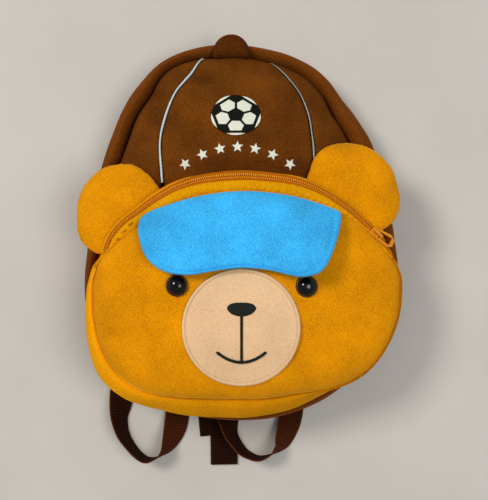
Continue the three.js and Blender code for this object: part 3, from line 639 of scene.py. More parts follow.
def plush(name, colour, tint, nap_share, grain_share, sheen):
    """Short brushed pile: fine tufts, and faint patches where the nap lies another way."""
    made = Material(name, 0.95)
    nap = made.noise(34, 2.0, 0.5)
    tufts = made.noise(780, 1.0, 0.5, (1.0, 0.5, 0.8))
    fine = made.noise(1500, 1.0, 0.6, (1.0, 0.7, 0.8))
    base = made.ramp(nap, [
        (0.3, shade(colour, 1 - nap_share)), (0.5, colour), (0.7, shade(colour, 1 + nap_share)),
    ])
    base = made.mix("SOFT_LIGHT", 0.3 * grain_share, base, made.ramp(tufts, GRAIN_STOPS))
    base = made.mix("SOFT_LIGHT", grain_share, base, made.ramp(fine, GRAIN_STOPS))
    # Painted shade: the "shaded" value darkens the pile where shade falls
    made.colour(made.mix("MULTIPLY", made.attribute("shaded"), base, PAINTED_SHADE_TINT))
    made.bump([(tufts, 0.35, 0.0007), (fine, 0.6, 0.0004)])
    made.sheen(sheen, 0.4, tint)
    return made.material


def thread(name, dark, light, turn):
    """Satin stitches: fine parallel threads."""
    made = Material(name, 0.55)
    wave = made.nodes.new("ShaderNodeTexWave")
    wave.bands_direction = "X"
    made.set(wave, {"Scale": 0.31 / THREAD_PITCH, "Distortion": 1.2, "Detail": 2.0, "Detail Scale": 2.0})
    made.links.new(made.mapped("Rotation", (0, 0, math.radians(turn))), wave.inputs["Vector"])
    made.colour(made.ramp(wave.outputs["Fac"], [(0.1, dark), (0.75, light)]))
    made.bump([(wave.outputs["Fac"], 0.5, 0.0003)])
    made.sheen(0.06, 0.4, light)
    return made.material


def woven(name, dark, light, scale, edge=None):
    """Plain weave. With an edge colour, a ribbon's own values pale its selvedge and where light is painted on
    it, and paint shade between its ribs.
    """
    made = Material(name, 0.8)
    yarn = made.noise(scale, 3.0, 0.6)
    fuzz = made.noise(scale * 3.1, 2.0, 0.6)
    base = made.ramp(yarn, [(0.3, dark), (0.7, light)])
    if edge:
        # The "edge" value mixes in the pale selvedge and painted light; the "furrow" value paints shade
        # between the ribs
        base = made.mix("MIX", made.attribute("edge"), base, edge)
        base = made.mix("MULTIPLY", made.attribute("furrow"), base, PAINTED_FURROW_SHADE)
    made.colour(base)
    made.bump([(yarn, 0.4, 0.0005), (fuzz, 0.4, 0.0003)])
    made.sheen(0.1, 0.5, light)
    return made.material


def solid(name, dark, light, roughness, scale, coat=0.0):
    """Moulded or cast: an even colour with faint mottling."""
    made = Material(name, roughness, specular=0.35)
    grain = made.noise(scale)
    made.colour(made.ramp(grain, [(0.3, dark), (0.7, light)]))
    made.bump([(grain, 0.12, 0.0003)])
    made.set(made.shader, {"Coat Weight": coat, "Coat Roughness": 0.05})
    return made.material


BROWN = plush("brown_plush", srgb(102, 54, 7), srgb(164, 88, 14), 0.28, 0.62, 0.35)
RIM_BROWN = plush("rim_plush", srgb(108, 56, 9), srgb(172, 90, 16), 0.08, 0.6, 0.5)
BUTTON_BROWN = plush("button_plush", srgb(80, 39, 3), srgb(140, 70, 8), 0.08, 0.8, 0.35)
ORANGE = plush("orange_plush", srgb(216, 138, 0), srgb(255, 196, 60), 0.14, 0.66, 0.95)
# A lighter copy of the orange plush: painted light on the gusset's left side, which faces the lamp, with
# painted shade from add_gusset on the rest
GUSSET = plush("gusset_plush", srgb(241, 159, 2), srgb(255, 186, 20), 0.1, 0.66, 0.6)
FACING = plush("facing_plush", srgb(217, 149, 0), srgb(255, 186, 0), 0.07, 0.8, 0.5)
BLUE = plush("blue_plush", srgb(58, 173, 235), srgb(170, 230, 255), 0.16, 0.72, 0.6)
PEACH = plush("peach_plush", srgb(227, 188, 145), srgb(255, 220, 184), 0.05, 0.45, 0.12)
DARK_THREAD = thread("dark_thread", srgb(10, 14, 11), srgb(38, 46, 40), 8)
BALL_BLACK = thread("ball_black", srgb(7, 7, 4), srgb(26, 26, 18), 70)
WHITE_THREAD = thread("white_thread", srgb(200, 200, 180), srgb(250, 251, 236), 40)
PIPING = woven("piping_cloth", srgb(150, 178, 184), srgb(226, 240, 240), 1500)
DIM_PIPING = woven("dim_piping_cloth", srgb(112, 128, 118), srgb(178, 190, 178), 1500)
ZIP_CLOTH = woven("zip_cloth", srgb(146, 66, 2), srgb(198, 106, 4), 1500)
ZIP_TEETH = solid("zip_teeth", srgb(226, 140, 6), srgb(246, 170, 30), 0.6, 700)
ZIP_METAL = solid("zip_metal", srgb(206, 120, 3), srgb(232, 150, 14), 0.38, 400, 0.35)
STITCH = woven("stitch_thread", srgb(172, 88, 0), srgb(206, 120, 2), 1800)
EYE_BLACK = solid("eye_black", srgb(2, 2, 1), srgb(5, 4, 3), 0.05, 60)
EYE_RIM = solid("eye_rim", srgb(44, 20, 6), srgb(78, 38, 13), 0.35, 500)
WEBBING = woven("webbing", srgb(34, 11, 3), srgb(66, 26, 8), 1300, srgb(128, 62, 20))
# A darker copy of the webbing: painted shade for the tail, which lies in the loop's shadow; the zip band in
# the groove uses it too
DARK_WEBBING = woven("dark_webbing", srgb(26, 9, 3), srgb(52, 20, 6), 1300, srgb(66, 30, 10))
PLASTIC = solid("adjuster_plastic", srgb(28, 12, 6), srgb(44, 20, 9), 0.5, 700)
LINING = woven("back_cloth", srgb(58, 29, 8), srgb(92, 50, 17), 900)


# Camera, floor and light

# The photo's view: the camera stands above the bag and leans a little towards its top
CAMERA = {
    "place": (1.6, -16.0, 630.0), "tilt": math.atan(45 / 750), "lens": 54.0, "sensor": 36, "shift": 0.004,
}
FLOOR_HALF = 3.0
WORLD = {"Color": (0.9, 0.95, 1.0, 1), "Strength": 0.36}
LIGHTS = [
    # name, place in metres, size, power, colour
    ("key", (-1.02, 0.55, 1.52), 0.6, 18.5, (1.0, 0.96, 0.9)),
    ("fill", (0.55, -0.12, 1.3), 0.7, 6.9, (1.0, 0.98, 0.95)),
]


def add_camera():
    data = bpy.data.cameras.new("camera")
    data.lens = CAMERA["lens"]
    data.sensor_width = CAMERA["sensor"]
    data.shift_x = CAMERA["shift"]
    camera = bpy.data.objects.new("camera", data)
    camera.location = place(CAMERA["place"])[0]
    camera.rotation_euler = (CAMERA["tilt"], 0, 0)
    bpy.context.scene.collection.objects.link(camera)
    bpy.context.scene.camera = camera


def add_floor():
    mesh = bpy.data.meshes.new("floor")
    corners = [(-1, -1), (1, -1), (1, 1), (-1, 1)]
    mesh.from_pydata([(x * FLOOR_HALF, y * FLOOR_HALF, 0) for x, y in corners], [], [(0, 1, 2, 3)])
    floor = bpy.data.objects.new("floor", mesh)
    made = Material("floor", 0.7)
    made.colour(made.ramp(made.noise(8), [(0.3, srgb(196, 191, 184)), (0.7, srgb(204, 199, 192))]))
    mesh.materials.append(made.material)
    bpy.context.scene.collection.objects.link(floor)


def add_lights():
    world = bpy.data.worlds.new("studio")
    world.use_nodes = True
    for name, value in WORLD.items():
        world.node_tree.nodes["Background"].inputs[name].default_value = value
    bpy.context.scene.world = world
    for name, location, size, power, colour in LIGHTS:
        data = bpy.data.lights.new(name, "AREA")
        data.shape = "DISK"
        data.size = size
        data.energy = power
        data.color = colour
        light = bpy.data.objects.new(name, data)
        light.location = location
        light.rotation_euler = (-Vector(location)).to_track_quat("-Z", "Y").to_euler()
        bpy.context.scene.collection.objects.link(light)
    bpy.context.scene.view_settings.view_transform = "Standard"


# Main bag

RIM_SECTION = [
    # share of the groove's inset, more inset, height
    (1.0, 0.6, 26.5),
    (1.0, -0.6, 28.6),
    (0.88, 0, 32),
    (0.7, 0, 36.2),
    (0.45, 0, 37.4),
    (0.15, 0, 30),
    (0, 0, 19),
    (0, 4, 8.5),
    (0, 14, BACK_Z),
]
RIM_ROLL_Z = 34
# How far in from the edge the rows of a plain pad lie, as shares
PAD_ROWS = (0, 0.01, 0.03, 0.06, 0.1, 0.16, 0.24, 0.34, 0.46, 0.6, 0.75, 0.9)


def add_rim():
    angles = full_turn(300)
    rows = spline(RIM_SECTION, 40)
    rim = reach("rim", angles)
    inset = groove_inset(angles)
    loose = slack("rim_roll", angles * RIM_RADIUS, 0 * angles)
    grid = []
    for groove, more, z in rows:
        x, y = spot(angles, rim - groove * inset - more)
        grid.append(np.stack([x, y, z + bell(z - RIM_ROLL_Z, 6) * loose], 1))
    grid = np.array(grid)
    grid = grid + grid_normals(grid, True) * slack("rim", grid[..., 0], grid[..., 1])[..., None]
    obj = piece("rim_cloth", wall(grid, RIM_WALL, True), RIM_BROWN, "rear_rim")
    # Painted shade on the rim's inner slope, where it runs down into the groove
    pressed = 0.5 * smoothstep(rows[:, 0], 0.78, 1.0)
    label(obj, "shaded", np.tile(np.repeat(pressed, len(angles)), 2))


CROWN_HOLLOWS = [
    # middle, size along x and y, depth, how much painted shade lies there
    ((-27, 155), (9, 7), 2.0, 0.35),
    ((-64, 142), (8, 5), 1.6, 0.2),
    ((64, 125), (8, 6), 1.5, 0.2),
    ((38, 112), (14, 26), 1.2, 0.45),
    ((-36, 106), (16, 20), 0.8, 0.3),
    ((0, 80), (54, 9), 0.0, 0.55),
]
CROWN_DENTS = [
    # direction in degrees, half width, depth
    (114, 3.0, 0.8),
    (125, 4.0, 1.0),
    (64, 1.6, 0.9),
]
# A soft crease that bows down to both sides over the pocket
CREASE = {
    "y": 84, "bow": 0.006, "bow_x": -4, "middle": -2, "half": 62, "fade": 30, "width": 5.0, "depth": 1.6,
}
SEAM_DIP = {"depth": 1.5, "width": 2.6}


def spread(x, y, at, wide):
    return np.exp(-((x - at[0]) / wide[0]) ** 2 - ((y - at[1]) / wide[1]) ** 2)


def crown_surface(x, y):
    """The crown's cloth: slack lumps, hollows, and the crease over the pocket."""
    angle, distance = polar(x, y)
    inside = smoothstep(1 - distance / panel_reach(angle), 0.0, 0.12)
    crease_y = CREASE["y"] - CREASE["bow"] * (x - CREASE["bow_x"]) ** 2
    along = smoothstep(CREASE["half"] - np.abs(x - CREASE["middle"]), 0, CREASE["fade"])
    crease = CREASE["depth"] * bell(y - crease_y, CREASE["width"]) * along
    hollows = sum(deep * spread(x, y, at, wide) for at, wide, deep, _ in CROWN_HOLLOWS)
    return crown_height(x, y) + inside * slack("crown", x, y) - crease - hollows


def crown_dent(angle):
    degrees = np.degrees(angle)
    return sum(deep * bell(degrees - at, wide) for at, wide, deep in CROWN_DENTS)


def outline_meets(side):
    """Height in plan where a piping line reaches the crown's outline."""
    ys = np.linspace(100, 194, 900)
    angle, distance = polar(piping_x(side, ys), ys)
    return ys[np.argmax(distance > panel_reach(angle) - 0.3)]


def add_crown_panel(panel, x, y):
    """A panel of the crown, which turns down into the piping seams and into the groove."""
    near = np.minimum(np.abs(x - piping_x("left", y)), np.abs(x - piping_x("right", y)))
    z = crown_surface(x, y) - SEAM_DIP["depth"] * bell(near, SEAM_DIP["width"])
    angle, distance = polar(x, y)
    depth = panel_reach(angle) - distance
    # Painted shade in the hollows, and along the crown's edge where it turns down into the groove
    dark = sum(share * spread(x, y, at, wide) for at, wide, _, share in CROWN_HOLLOWS)
    dark = dark + 0.5 * bell(depth, 3.5)
    pull = crown_dent(angle) * bell(depth, 14)
    grid = np.stack([x - pull * np.cos(angle), y - pull * np.sin(angle), z], 2)
    node = f"crown_{panel}"
    obj = piece(f"{node}_cloth", wall(grid, PLUSH_WALL, False), BROWN, node)
    label(obj, "shaded", np.tile(np.clip(dark, 0, 1).ravel(), 2))


def add_crown_centre():
    """The middle panel, in lines that run up between the two seams."""
    ys = np.linspace(CROWN_SPLIT_Y, 196, 700)
    left = piping_x("left", ys) + PIPING_SLOT
    right = piping_x("right", ys) - PIPING_SLOT
    up = 1 - (1 - np.linspace(0, 1, 150)) ** 1.35
    columns_x = []
    columns_y = []
    for share in np.linspace(0, 1, 110):
        xs = lerp(left, right, share)
        angle, distance = polar(xs, ys)
        top = ys[np.argmax(distance > panel_reach(angle) - 0.2)]
        columns_y.append(lerp(CROWN_SPLIT_Y, top, up))
        columns_x.append(np.interp(columns_y[-1], ys, xs))
    add_crown_panel("centre", np.array(columns_x), np.array(columns_y))


def add_crown_side(side, sign):
    """A side panel, in lines from the outline in to the seam."""
    top = outline_meets(side)
    seam_y = np.linspace(CROWN_SPLIT_Y, top - 0.6, 130)
    seam_x = piping_x(side, seam_y) + sign * PIPING_SLOT
    edge_top = math.atan2(top - CENTRE[1], piping_x(side, top) + sign * PIPING_SLOT)
    upwards = np.linspace(0 if sign > 0 else math.pi, math.pi / 2, 500)
    _, outline_y = spot(upwards, panel_reach(upwards))
    edge_foot = upwards[np.argmax(outline_y > CROWN_SPLIT_Y)]
    edge_angle = np.linspace(edge_foot, edge_top, 130)
    edge_x, edge_y = spot(edge_angle, panel_reach(edge_angle) - 0.2)
    inward = (np.linspace(0, 1, 60) ** 1.4)[:, None]
    add_crown_panel(side, lerp(edge_x, seam_x, inward), lerp(edge_y, seam_y, inward))


def add_front_lower():
    """The wall behind the pocket, cut level where the crown begins."""
    angles = full_turn(200)
    top_y = CROWN_SPLIT_Y - GAP
    grid = []
    for inward in (*PAD_ROWS, 0.98):
        distance = panel_reach(angles) * (1 - inward)
        _, y = spot(angles, distance)
        scale = np.where(y > top_y, (top_y - CENTRE[1]) / np.maximum(y - CENTRE[1], 1e-6), 1.0)
        x, y = spot(angles, distance * scale)
        grid.append(np.stack([x, y, crown_height(x, y)], 1))
    shape = wall(np.array(grid), PLUSH_WALL, True, True)
    piece("front_lower_cloth", shape, BROWN, "front_lower")


PIPING_FROM_ZIP = 7.4
PIPING_FROM_EAR = 0.8
PIPING_CORDS = {
    # radius, cloth, thickness at the foot and at the top
    "left": (0.78, PIPING, 1.0, 1.0),
    "right": (0.56, DIM_PIPING, 1.15, 0.55),
}
EARS = {
    # middle in plan, radius, directions in which the ear is longer and by how much
    "ear_left": (-92, 52, 33.5, ((247, 9.5),)),
    "ear_right": (87, 67, 34, ((310, 8.0), (140, 4.0))),
}


def add_piping():
    """The two cords, where neither the pocket nor an ear covers them."""
    count = 170
    station = np.arange(count)
    for side, (radius, cloth, foot, top) in PIPING_CORDS.items():
        ys = np.linspace(70, outline_meets(side) + 1.0, 400)
        xs = piping_x(side, ys)
        angle, distance = polar(xs, ys)
        shown = distance > zip_reach(angle) + PIPING_FROM_ZIP
        for x, y, ear_radius, _ in EARS.values():
            shown &= np.hypot(xs - x, ys - y) > ear_radius + PIPING_FROM_EAR
        xs = xs[shown]
        ys = ys[shown]
        path = even(np.stack([xs, ys, crown_surface(xs, ys) + 0.1], 1), count)
        across, up = frames_along(path)
        thick = 1.0 + 0.1 * np.sin(station * 1.9) + 0.12 * np.sin(station * 0.11)
        thick = thick * lerp(foot, top, np.linspace(0, 1, count))
        section = ring_section(radius, 12)[None] * thick[:, None, None]
        piece(f"piping_{side}_cord", tube(path, across, up, section), cloth, f"piping_{side}")


BUTTON = {"x": -7.0, "half": 14.5, "low": 173.0, "high": 192.0, "base": 38.3, "thick": 9.0}


def add_button():
    x, half, low, high = (BUTTON[key] for key in ("x", "half", "low", "high"))
    arc = np.linspace(0, math.pi, 60)
    outline = [(x + half, low + 0.8)]
    outline += [(x + half * math.cos(t), high - half + half * math.sin(t)) for t in arc]
    outline += [(x - half, low + 0.8)]
    outline += [(lerp(x - half, x + half, t), low) for t in np.linspace(0.04, 0.96, 24)]

    def under(px, py, inward):
        return BUTTON["base"] + 0 * px

    def over(px, py, inward):
        rise = BUTTON["thick"] * lerp(0.3, 1.0, dome(inward * 1.15))
        return BUTTON["base"] + rise + slack("button", px, py)

    shape = pad(outline, (x, (low + high) / 2), PAD_ROWS, under, over)
    piece("cap_button_pad", shape, BUTTON_BROWN, "cap_button")


MAIN_ZIP = {"ends": (4, 176), "inner": -4, "outer": 3.4, "z": 27.2, "coil": 0.5, "thick": 0.8}


def add_main_zip():
    """The band that closes the main compartment, with its coil, down in the groove."""
    angles = np.radians(np.linspace(*MAIN_ZIP["ends"], 260))
    inner = np.stack(spot(angles, panel_reach(angles) + MAIN_ZIP["inner"]), 1)
    outer = np.stack(spot(angles, panel_reach(angles) + MAIN_ZIP["outer"]), 1)
    teeth = 1 + 0.5 * np.sin(np.arange(len(angles)) * 2.1)
    rows = []
    for share in np.linspace(0, 1, 9):
        z = MAIN_ZIP["z"] + MAIN_ZIP["coil"] * bell(share - 0.6, 0.16) * teeth
        rows.append(np.column_stack([lerp(inner, outer, share), z]))
    front = np.array(rows)
    shape = two_sided(front, front - np.array([0, 0, MAIN_ZIP["thick"]]), False)
    piece("main_zip_band", shape, DARK_WEBBING, "main_zip")


BACK_ROWS = (0, 0.006, 0.015, 0.03, 0.05, 0.08, 0.13, 0.2, 0.3, 0.42, 0.56, 0.7, 0.84, 0.95)
BACK_INSET = 16.2
BACK_THICK = 3.1
QUILT = {"pitch": 36, "depth": 0.25, "line": 0.15}


def add_back():
    """The back, with quilt lines pressed into its underside."""
    angles = full_turn(220)
    edge = reach("rim", angles) - BACK_INSET
    inside = []
    outside = []
    for inward in BACK_ROWS:
        x, y = spot(angles, edge * (1 - inward))
        one_way = np.abs(np.sin(math.pi * (x + y) / QUILT["pitch"]))
        other_way = np.abs(np.sin(math.pi * (x - y) / QUILT["pitch"]))
        quilt = QUILT["depth"] * one_way * other_way
        line = QUILT["depth"] * (1 - np.minimum(quilt / QUILT["line"], 1))
        under = BACK_Z + 0.5 * (1 - smoothstep(inward, 0, 0.03)) + line
        inside.append(np.stack([x, y, 0 * x + BACK_Z + BACK_THICK], 1))
        outside.append(np.stack([x, y, under], 1))
    shape = two_sided(np.array(inside), np.array(outside), True, True)
    piece("back_pad", shape, LINING, "back_panel")


# Front pocket

POCKET_DEGREES = np.concatenate([
    np.linspace(ZIP_RIGHT_END, ZIP_LEFT_END, 120, endpoint=False),
    np.linspace(ZIP_LEFT_END, ZIP_LEFT_END + ZIP_TAB, 14, endpoint=False),
    np.linspace(ZIP_LEFT_END + ZIP_TAB, 360 + ZIP_RIGHT_END - ZIP_TAB, 190, endpoint=False),
    np.linspace(360 + ZIP_RIGHT_END - ZIP_TAB, 360 + ZIP_RIGHT_END, 14, endpoint=False),
])
FACE_ROWS = (
    -0.006, -0.002, 0.002, 0.006, 0.011, 0.018, 0.027, 0.038, 0.052, 0.07, 0.095, 0.125,
    0.16, 0.2, 0.25, 0.3, 0.36, 0.43, 0.51, 0.6, 0.7, 0.8, 0.9, 0.97,
)


def seam_turn(degrees):
    """How far in from the bag's edge the face's seam lies: 0 at the right, 1 elsewhere."""
    return smoothstep(np.abs(np.mod(degrees + 190, 360) - 180), 30, 52)


def add_face():
    angles = np.radians(POCKET_DEGREES)
    edge = face_edge(angles)
    seam_depth = lerp(2.4, 0.3, zip_share(POCKET_DEGREES)) * lerp(0.1, 1, seam_turn(POCKET_DEGREES))
    pucker = slack("face_seam", angles * FACE_RADIUS, 0 * angles)
    grid = []
    for inward in FACE_ROWS:
        x, y = spot(angles, edge * (1 - inward))
        z = face_height(x, y) - seam_depth * math.exp(-(inward - FACE_ROWS[0]) / 0.011)
        loose = smoothstep(inward, 0.0, 0.15) * slack("face", x, y)
        grid.append(np.stack([x, y, z + math.exp(-abs(inward) / 0.05) * pucker + loose], 1))
    shape = wall(np.array(grid), PLUSH_WALL, True, True)
    piece("pocket_face_cloth", shape, ORANGE, "pocket_face")


GUSSET_ROWS = 34
FACING_ENDS = (9, 174)
GUSSET_SHOULDER = [
    # share of the way out at the right and elsewhere, share of the way down
    (0.1, 0.45, 0.12),
    (0.5, 0.85, 0.5),
    (1, 1, 1),
]
# Painted shade on the gusset, by direction: most at the bottom and the right, none at the left, which faces
# the lamp
GUSSET_SHADE_DIRECTION = (-90, -40, 40, 90, 150, 175, 205, 232, 270)
GUSSET_PAINTED_SHADE = (0.46, 0.46, 0.46, 0.3, 0.25, 0, 0, 0.36, 0.46)


def gusset_section():
    """Distances and heights of the gusset, from its front edge round its bulge down to the bag."""
    angle, distance, front_z, share = pocket_front(POCKET_DEGREES)
    inset = seam_turn(POCKET_DEGREES)
    bulge = np.maximum(reach("pocket", angle) - 1.5 * (1 - inset), distance + lerp(0.6, 4, inset))
    widest = lerp(bulge, distance + 1.0, share)
    bulge_z = lerp(POCKET_BULGE_Z, front_z - 1.2, share)
    on_panel = panel_reach(angle) - GUSSET_BASE_INSET
    base = np.minimum(on_panel, lerp(on_panel, distance + 1.4, share))
    base_z = crown_height(*spot(angle, base)) + 0.3
    along = turned(POCKET_DEGREES)
    beside_facing = smoothstep(np.minimum(along - FACING_ENDS[0], FACING_ENDS[1] - along), 0, 4)
    tuck = (1 - beside_facing) * lerp(0.1, 1, inset)
    section = [
        (distance - 0.5, front_z - 2.2),
        (distance + 0.7 * tuck - 0.2, front_z - 0.9 * tuck - 0.3),
        (distance + 2.0 * tuck + 0.2, front_z + 0.2 * share - 0.5 * tuck),
    ]
    for straight, rounded, down in GUSSET_SHOULDER:
        section.append((lerp(distance, widest, lerp(straight, rounded, inset)), lerp(front_z, bulge_z, down)))
    section.append((lerp(widest, base, 0.35), lerp(bulge_z, base_z, 0.6)))
    section.append((base, np.minimum(base_z, bulge_z - 0.4)))
    return np.array(section)


def add_gusset():
    angle = np.radians(POCKET_DEGREES)
    section = gusset_section()
    rows = spline(section.reshape(len(section), -1), GUSSET_ROWS).reshape(GUSSET_ROWS, 2, -1)
    grid = []
    for at, (distance, z) in zip(np.linspace(0, len(section) - 1, GUSSET_ROWS), rows):
        loose = (1 - zip_share(POCKET_DEGREES)) * math.sin(math.pi * min(max(at - 1.5, 0) / 4.5, 1.0))
        wrinkle = slack("gusset", angle * GUSSET_RADIUS, 0 * angle + at * 3)
        x, y = spot(angle, distance + loose * wrinkle)
        grid.append(np.stack([x, y, z], 1))
    shape = wall(np.array(grid), PLUSH_WALL, True)
    obj = piece("pocket_gusset_cloth", shape, GUSSET, "pocket_gusset")
    # Painted shade towards the gusset's bottom and right, away from the light
    nap = np.interp(turned(POCKET_DEGREES), GUSSET_SHADE_DIRECTION, GUSSET_PAINTED_SHADE)
    label(obj, "shaded", np.tile(nap, 2 * GUSSET_ROWS))


GATHER_PITCH = 5.2
STITCHES = {"from": 145.9, "to": 154.4, "off_face": (5.0, 1.7), "radius": 0.42, "points": 12}
# Place along the row and half length in degrees of each stitch
STITCH_ROW = ((0, 1.3), (0.5, 0.95), (1, 0.8))


def add_facing():
    """The gathered strip between the face and the zip."""
    degrees = np.linspace(ZIP_RIGHT_END - ZIP_TAB + 1.5, ZIP_LEFT_END + ZIP_TAB - 1.5, 420)
    angle, distance, front_z, _ = pocket_front(degrees)
    beside = smoothstep(from_zip_end(degrees), -0.6, 0.2)
    inner = face_edge(angle) + 0.1
    outer = lerp(distance - GAP, zip_reach(angle) - tape_half(degrees), beside)
    outer = np.maximum(outer, inner + 0.8)
    seam = seam_height(angle)
    outer_z = lerp(front_z + 0.6, seam - 1.2, beside)
    run = run_along(np.stack(spot(angle, inner), 1))
    gathers = np.sin(2 * math.pi * run / GATHER_PITCH + slack("gathers", run, 0 * run))
    rows = []
    for across in np.linspace(0, 1, 17) ** 1.3:
        x, y = spot(angle, lerp(inner, outer, across))
        swell = 1.3 * math.sin(math.pi * across) - 0.4 * math.exp(-across / 0.07)
        pucker = 0.4 * beside * gathers * math.sin(math.pi * min(across * 1.4 + 0.1, 1.0))
        rows.append(np.stack([x, y, lerp(seam + 0.2, outer_z, across) + swell + pucker], 1))
    shape = wall(np.array(rows), FACING_WALL, False)
    piece("zip_facing_cloth", shape, FACING, "zip_facing")


def add_facing_stitches():
    """A short row of hand stitches where the facing meets the face at the left end."""
    count = STITCHES["points"]
    section = np.repeat(ring_section(STITCHES["radius"], 8)[None], count, 0)
    bow = np.array([-0.6, 0.35, 0.6, 0.35, -0.6])
    shapes = []
    for share, half in STITCH_ROW:
        middle = lerp(STITCHES["from"], STITCHES["to"], share)
        turn = np.radians(middle + half * np.array([-1, -0.5, 0, 0.5, 1]))
        x, y = spot(turn, reach("face", turn) + lerp(*STITCHES["off_face"], share))
        path = even(spline(np.stack([x, y, seam_height(turn) + 1.0 + bow], 1), count), count)
        shapes.append(tube(path, *frames_along(path), section))
    piece("facing_stitches", merged(shapes), STITCH)


TAPE = {"under": 1.2, "slope": 1.2, "rise": 1.6, "thick": 0.7}
TOOTH = {"pitch": 1.4, "height": 0.8, "half": 0.36, "rise": 2.0}
# Side of the zip's line, and from where to where each row of teeth reaches, as shares of the tape that shows
TOOTH_ROWS = ((-1, 0.0, 0.5), (1, 0.05, 0.95))


def add_tape():
    degrees = np.linspace(ZIP_RIGHT_END, ZIP_LEFT_END, 300)
    angle = np.radians(degrees)
    rows = []
    for across in np.linspace(-1, 1, 15):
        x, y = spot(angle, zip_reach(angle) + across * (tape_half(degrees) + TAPE["under"]))
        rows.append(np.stack([x, y, zip_height(angle) + TAPE["rise"] - across * TAPE["slope"]], 1))
    front = np.array(rows)
    shape = two_sided(front, front - np.array([0, 0, TAPE["thick"]]), False)
    piece("zip_tape_cloth", shape, ZIP_CLOTH, "zip_tape")


def round_bar():
    """A unit ball of few faces, to be stretched."""
    turn = full_turn(8)
    rings = []
    for lift in (-0.6, 0.1, 0.7):
        wide = math.sqrt(1 - lift * lift)
        rings.append(np.stack([wide * np.cos(turn), wide * np.sin(turn), 0 * turn + lift], 1))
    return closed_rings(np.array(rings), np.array([(0, 0, -1.0), (0, 0, 1.0)]))


def add_teeth():
    """Two rows of small teeth, each a rounded bar across the tape."""
    fine = np.radians(np.linspace(ZIP_RIGHT_END + 1.5, ZIP_LEFT_END - 0.5, 900))
    x, y = spot(fine, zip_reach(fine))
    path = np.stack([x, y, zip_height(fine) + TOOTH["rise"]], 1)
    path = even(path, int(run_along(path)[-1] / TOOTH["pitch"]))
    across, up = frames_along(path)
    along = np.cross(up, across)
    half = tape_half(np.degrees(polar(path[:, 0], path[:, 1])[0]))
    bar_points, bar_faces = round_bar()
    shapes = []
    for i, middle in enumerate(path):
        for side, low, high in TOOTH_ROWS:
            outward = side * half[i] * (high + low) / 2 * across[i]
            onward = side * TOOTH["pitch"] / 4 * along[i]
            size = (half[i] * (high - low) / 2, TOOTH["pitch"] * TOOTH["half"], TOOTH["height"])
            turned_bar = (bar_points * size) @ np.stack([across[i], along[i], up[i]])
            shapes.append((middle + outward + onward + turned_bar, bar_faces))
    piece("zip_coil_teeth", merged(shapes), ZIP_TEETH, "zip_coil")


def add_bevelled(node, name, width, material, body):
    """A hard CAD solid with its edges rounded."""
    bevel = {"width": width, "segments": 3, "limit_method": "ANGLE", "angle_limit": math.radians(35)}
    obj = from_solid(node, name, [("BEVEL", bevel)], material, body)
    obj.data.set_sharp_from_angle(angle=math.radians(40))


# The bear

EAR_STUFFING = [
    ("REMESH", {"mode": "VOXEL", "voxel_size": 0.0016}),
    ("SMOOTH", {"factor": 0.5, "iterations": 8}),
]
EAR_PUSH_WIDTH = 38
# How far an ear's foot is drawn over the pocket's edge, and how far down on to it
EAR_DRAWN = {"in": 6.2, "bend_share": 1.2, "down": 3.0}


def vertex_values(mesh, name):
    values = np.zeros(len(mesh.vertices) * 3, np.float32)
    mesh.vertices.foreach_get(name, values)
    return values.reshape(-1, 3)


def longer_ear(plan, x, y, radius, pushes):
    """The ear drawn out in some directions, most at its edge."""
    turn = np.degrees(np.arctan2(plan[:, 1] - y, plan[:, 0] - x))
    share = np.minimum(np.hypot(plan[:, 0] - x, plan[:, 1] - y) / radius, 1) ** 2
    more = 0 * share
    for direction, push in pushes:
        more += push * share * bell(np.mod(turn - direction + 180, 360) - 180, EAR_PUSH_WIDTH)
    turn = np.radians(turn)
    return plan + more[:, None] * np.stack([np.cos(turn), np.sin(turn), 0 * turn], 1)


def drawn_ear(plan):
    """The ear's foot drawn in over the pocket's edge and down on to it."""
    angle, distance = polar(plan[:, 0], plan[:, 1])
    past_edge = distance - (zip_reach(angle) + tape_half(np.degrees(angle)) + 0.6)
    most = EAR_DRAWN["in"] + np.maximum(-EAR_DRAWN["bend_share"] * zip_bend(angle), 0)
    inward = most * (1 - smoothstep(past_edge, 3.4, 18)) * smoothstep(plan[:, 2], 48, 60)
    down = EAR_DRAWN["down"] * (1 - smoothstep(past_edge, 0, 17)) * smoothstep(plan[:, 2], 48, 66)
    return plan - np.stack([inward * np.cos(angle), inward * np.sin(angle), down], 1)


def add_ears():
    for node, row in EARS.items():
        ear = from_solid(node, f"{node}_stuffed", EAR_STUFFING, ORANGE, BAG)
        points = vertex_values(ear.data, "co") * MM
        lumps = slack("ear", points[:, 0], points[:, 1])
        plan = points + vertex_values(ear.data, "normal") * lumps[:, None] - SHIFT
        plan = drawn_ear(longer_ear(plan, *row))
        ear.data.vertices.foreach_set("co", place(plan).astype(np.float32).ravel())
        ear.data.update()


VISOR = {
    "pole": (0, 28), "thick": 7.5, "edge": 3.2, "lift": 5.0, "right_lift": 11.0,
    "seam_y": 60.0, "depth": 62.0,
}
VISOR_OUTLINE = [
    (2, 59.5), (40, 55.5), (68, 46.8), (72.6, 44.6), (73.4, 40.5), (66, 15), (57, 0.5), (44, -3.5), (20, 1.5),
    (1, 3), (-17, 1), (-38, -2), (-56, 1.6), (-68.6, 13.5), (-74, 36.5), (-70.5, 42), (-38, 54),
]
VISOR_ROWS = (
    0, 0.006, 0.014, 0.024, 0.036, 0.05, 0.066, 0.085, 0.11, 0.14, 0.18, 0.23, 0.29,
    0.36, 0.44, 0.53, 0.63, 0.74, 0.85, 0.95,
)


def visor_base(x, y):
    outward = np.clip((VISOR["seam_y"] - y) / VISOR["depth"], 0, 1)
    lift = VISOR["lift"] + VISOR["right_lift"] * smoothstep(x, 10, 70)
    return face_height(x, y) + 2 * GAP + lift * outward ** 1.5


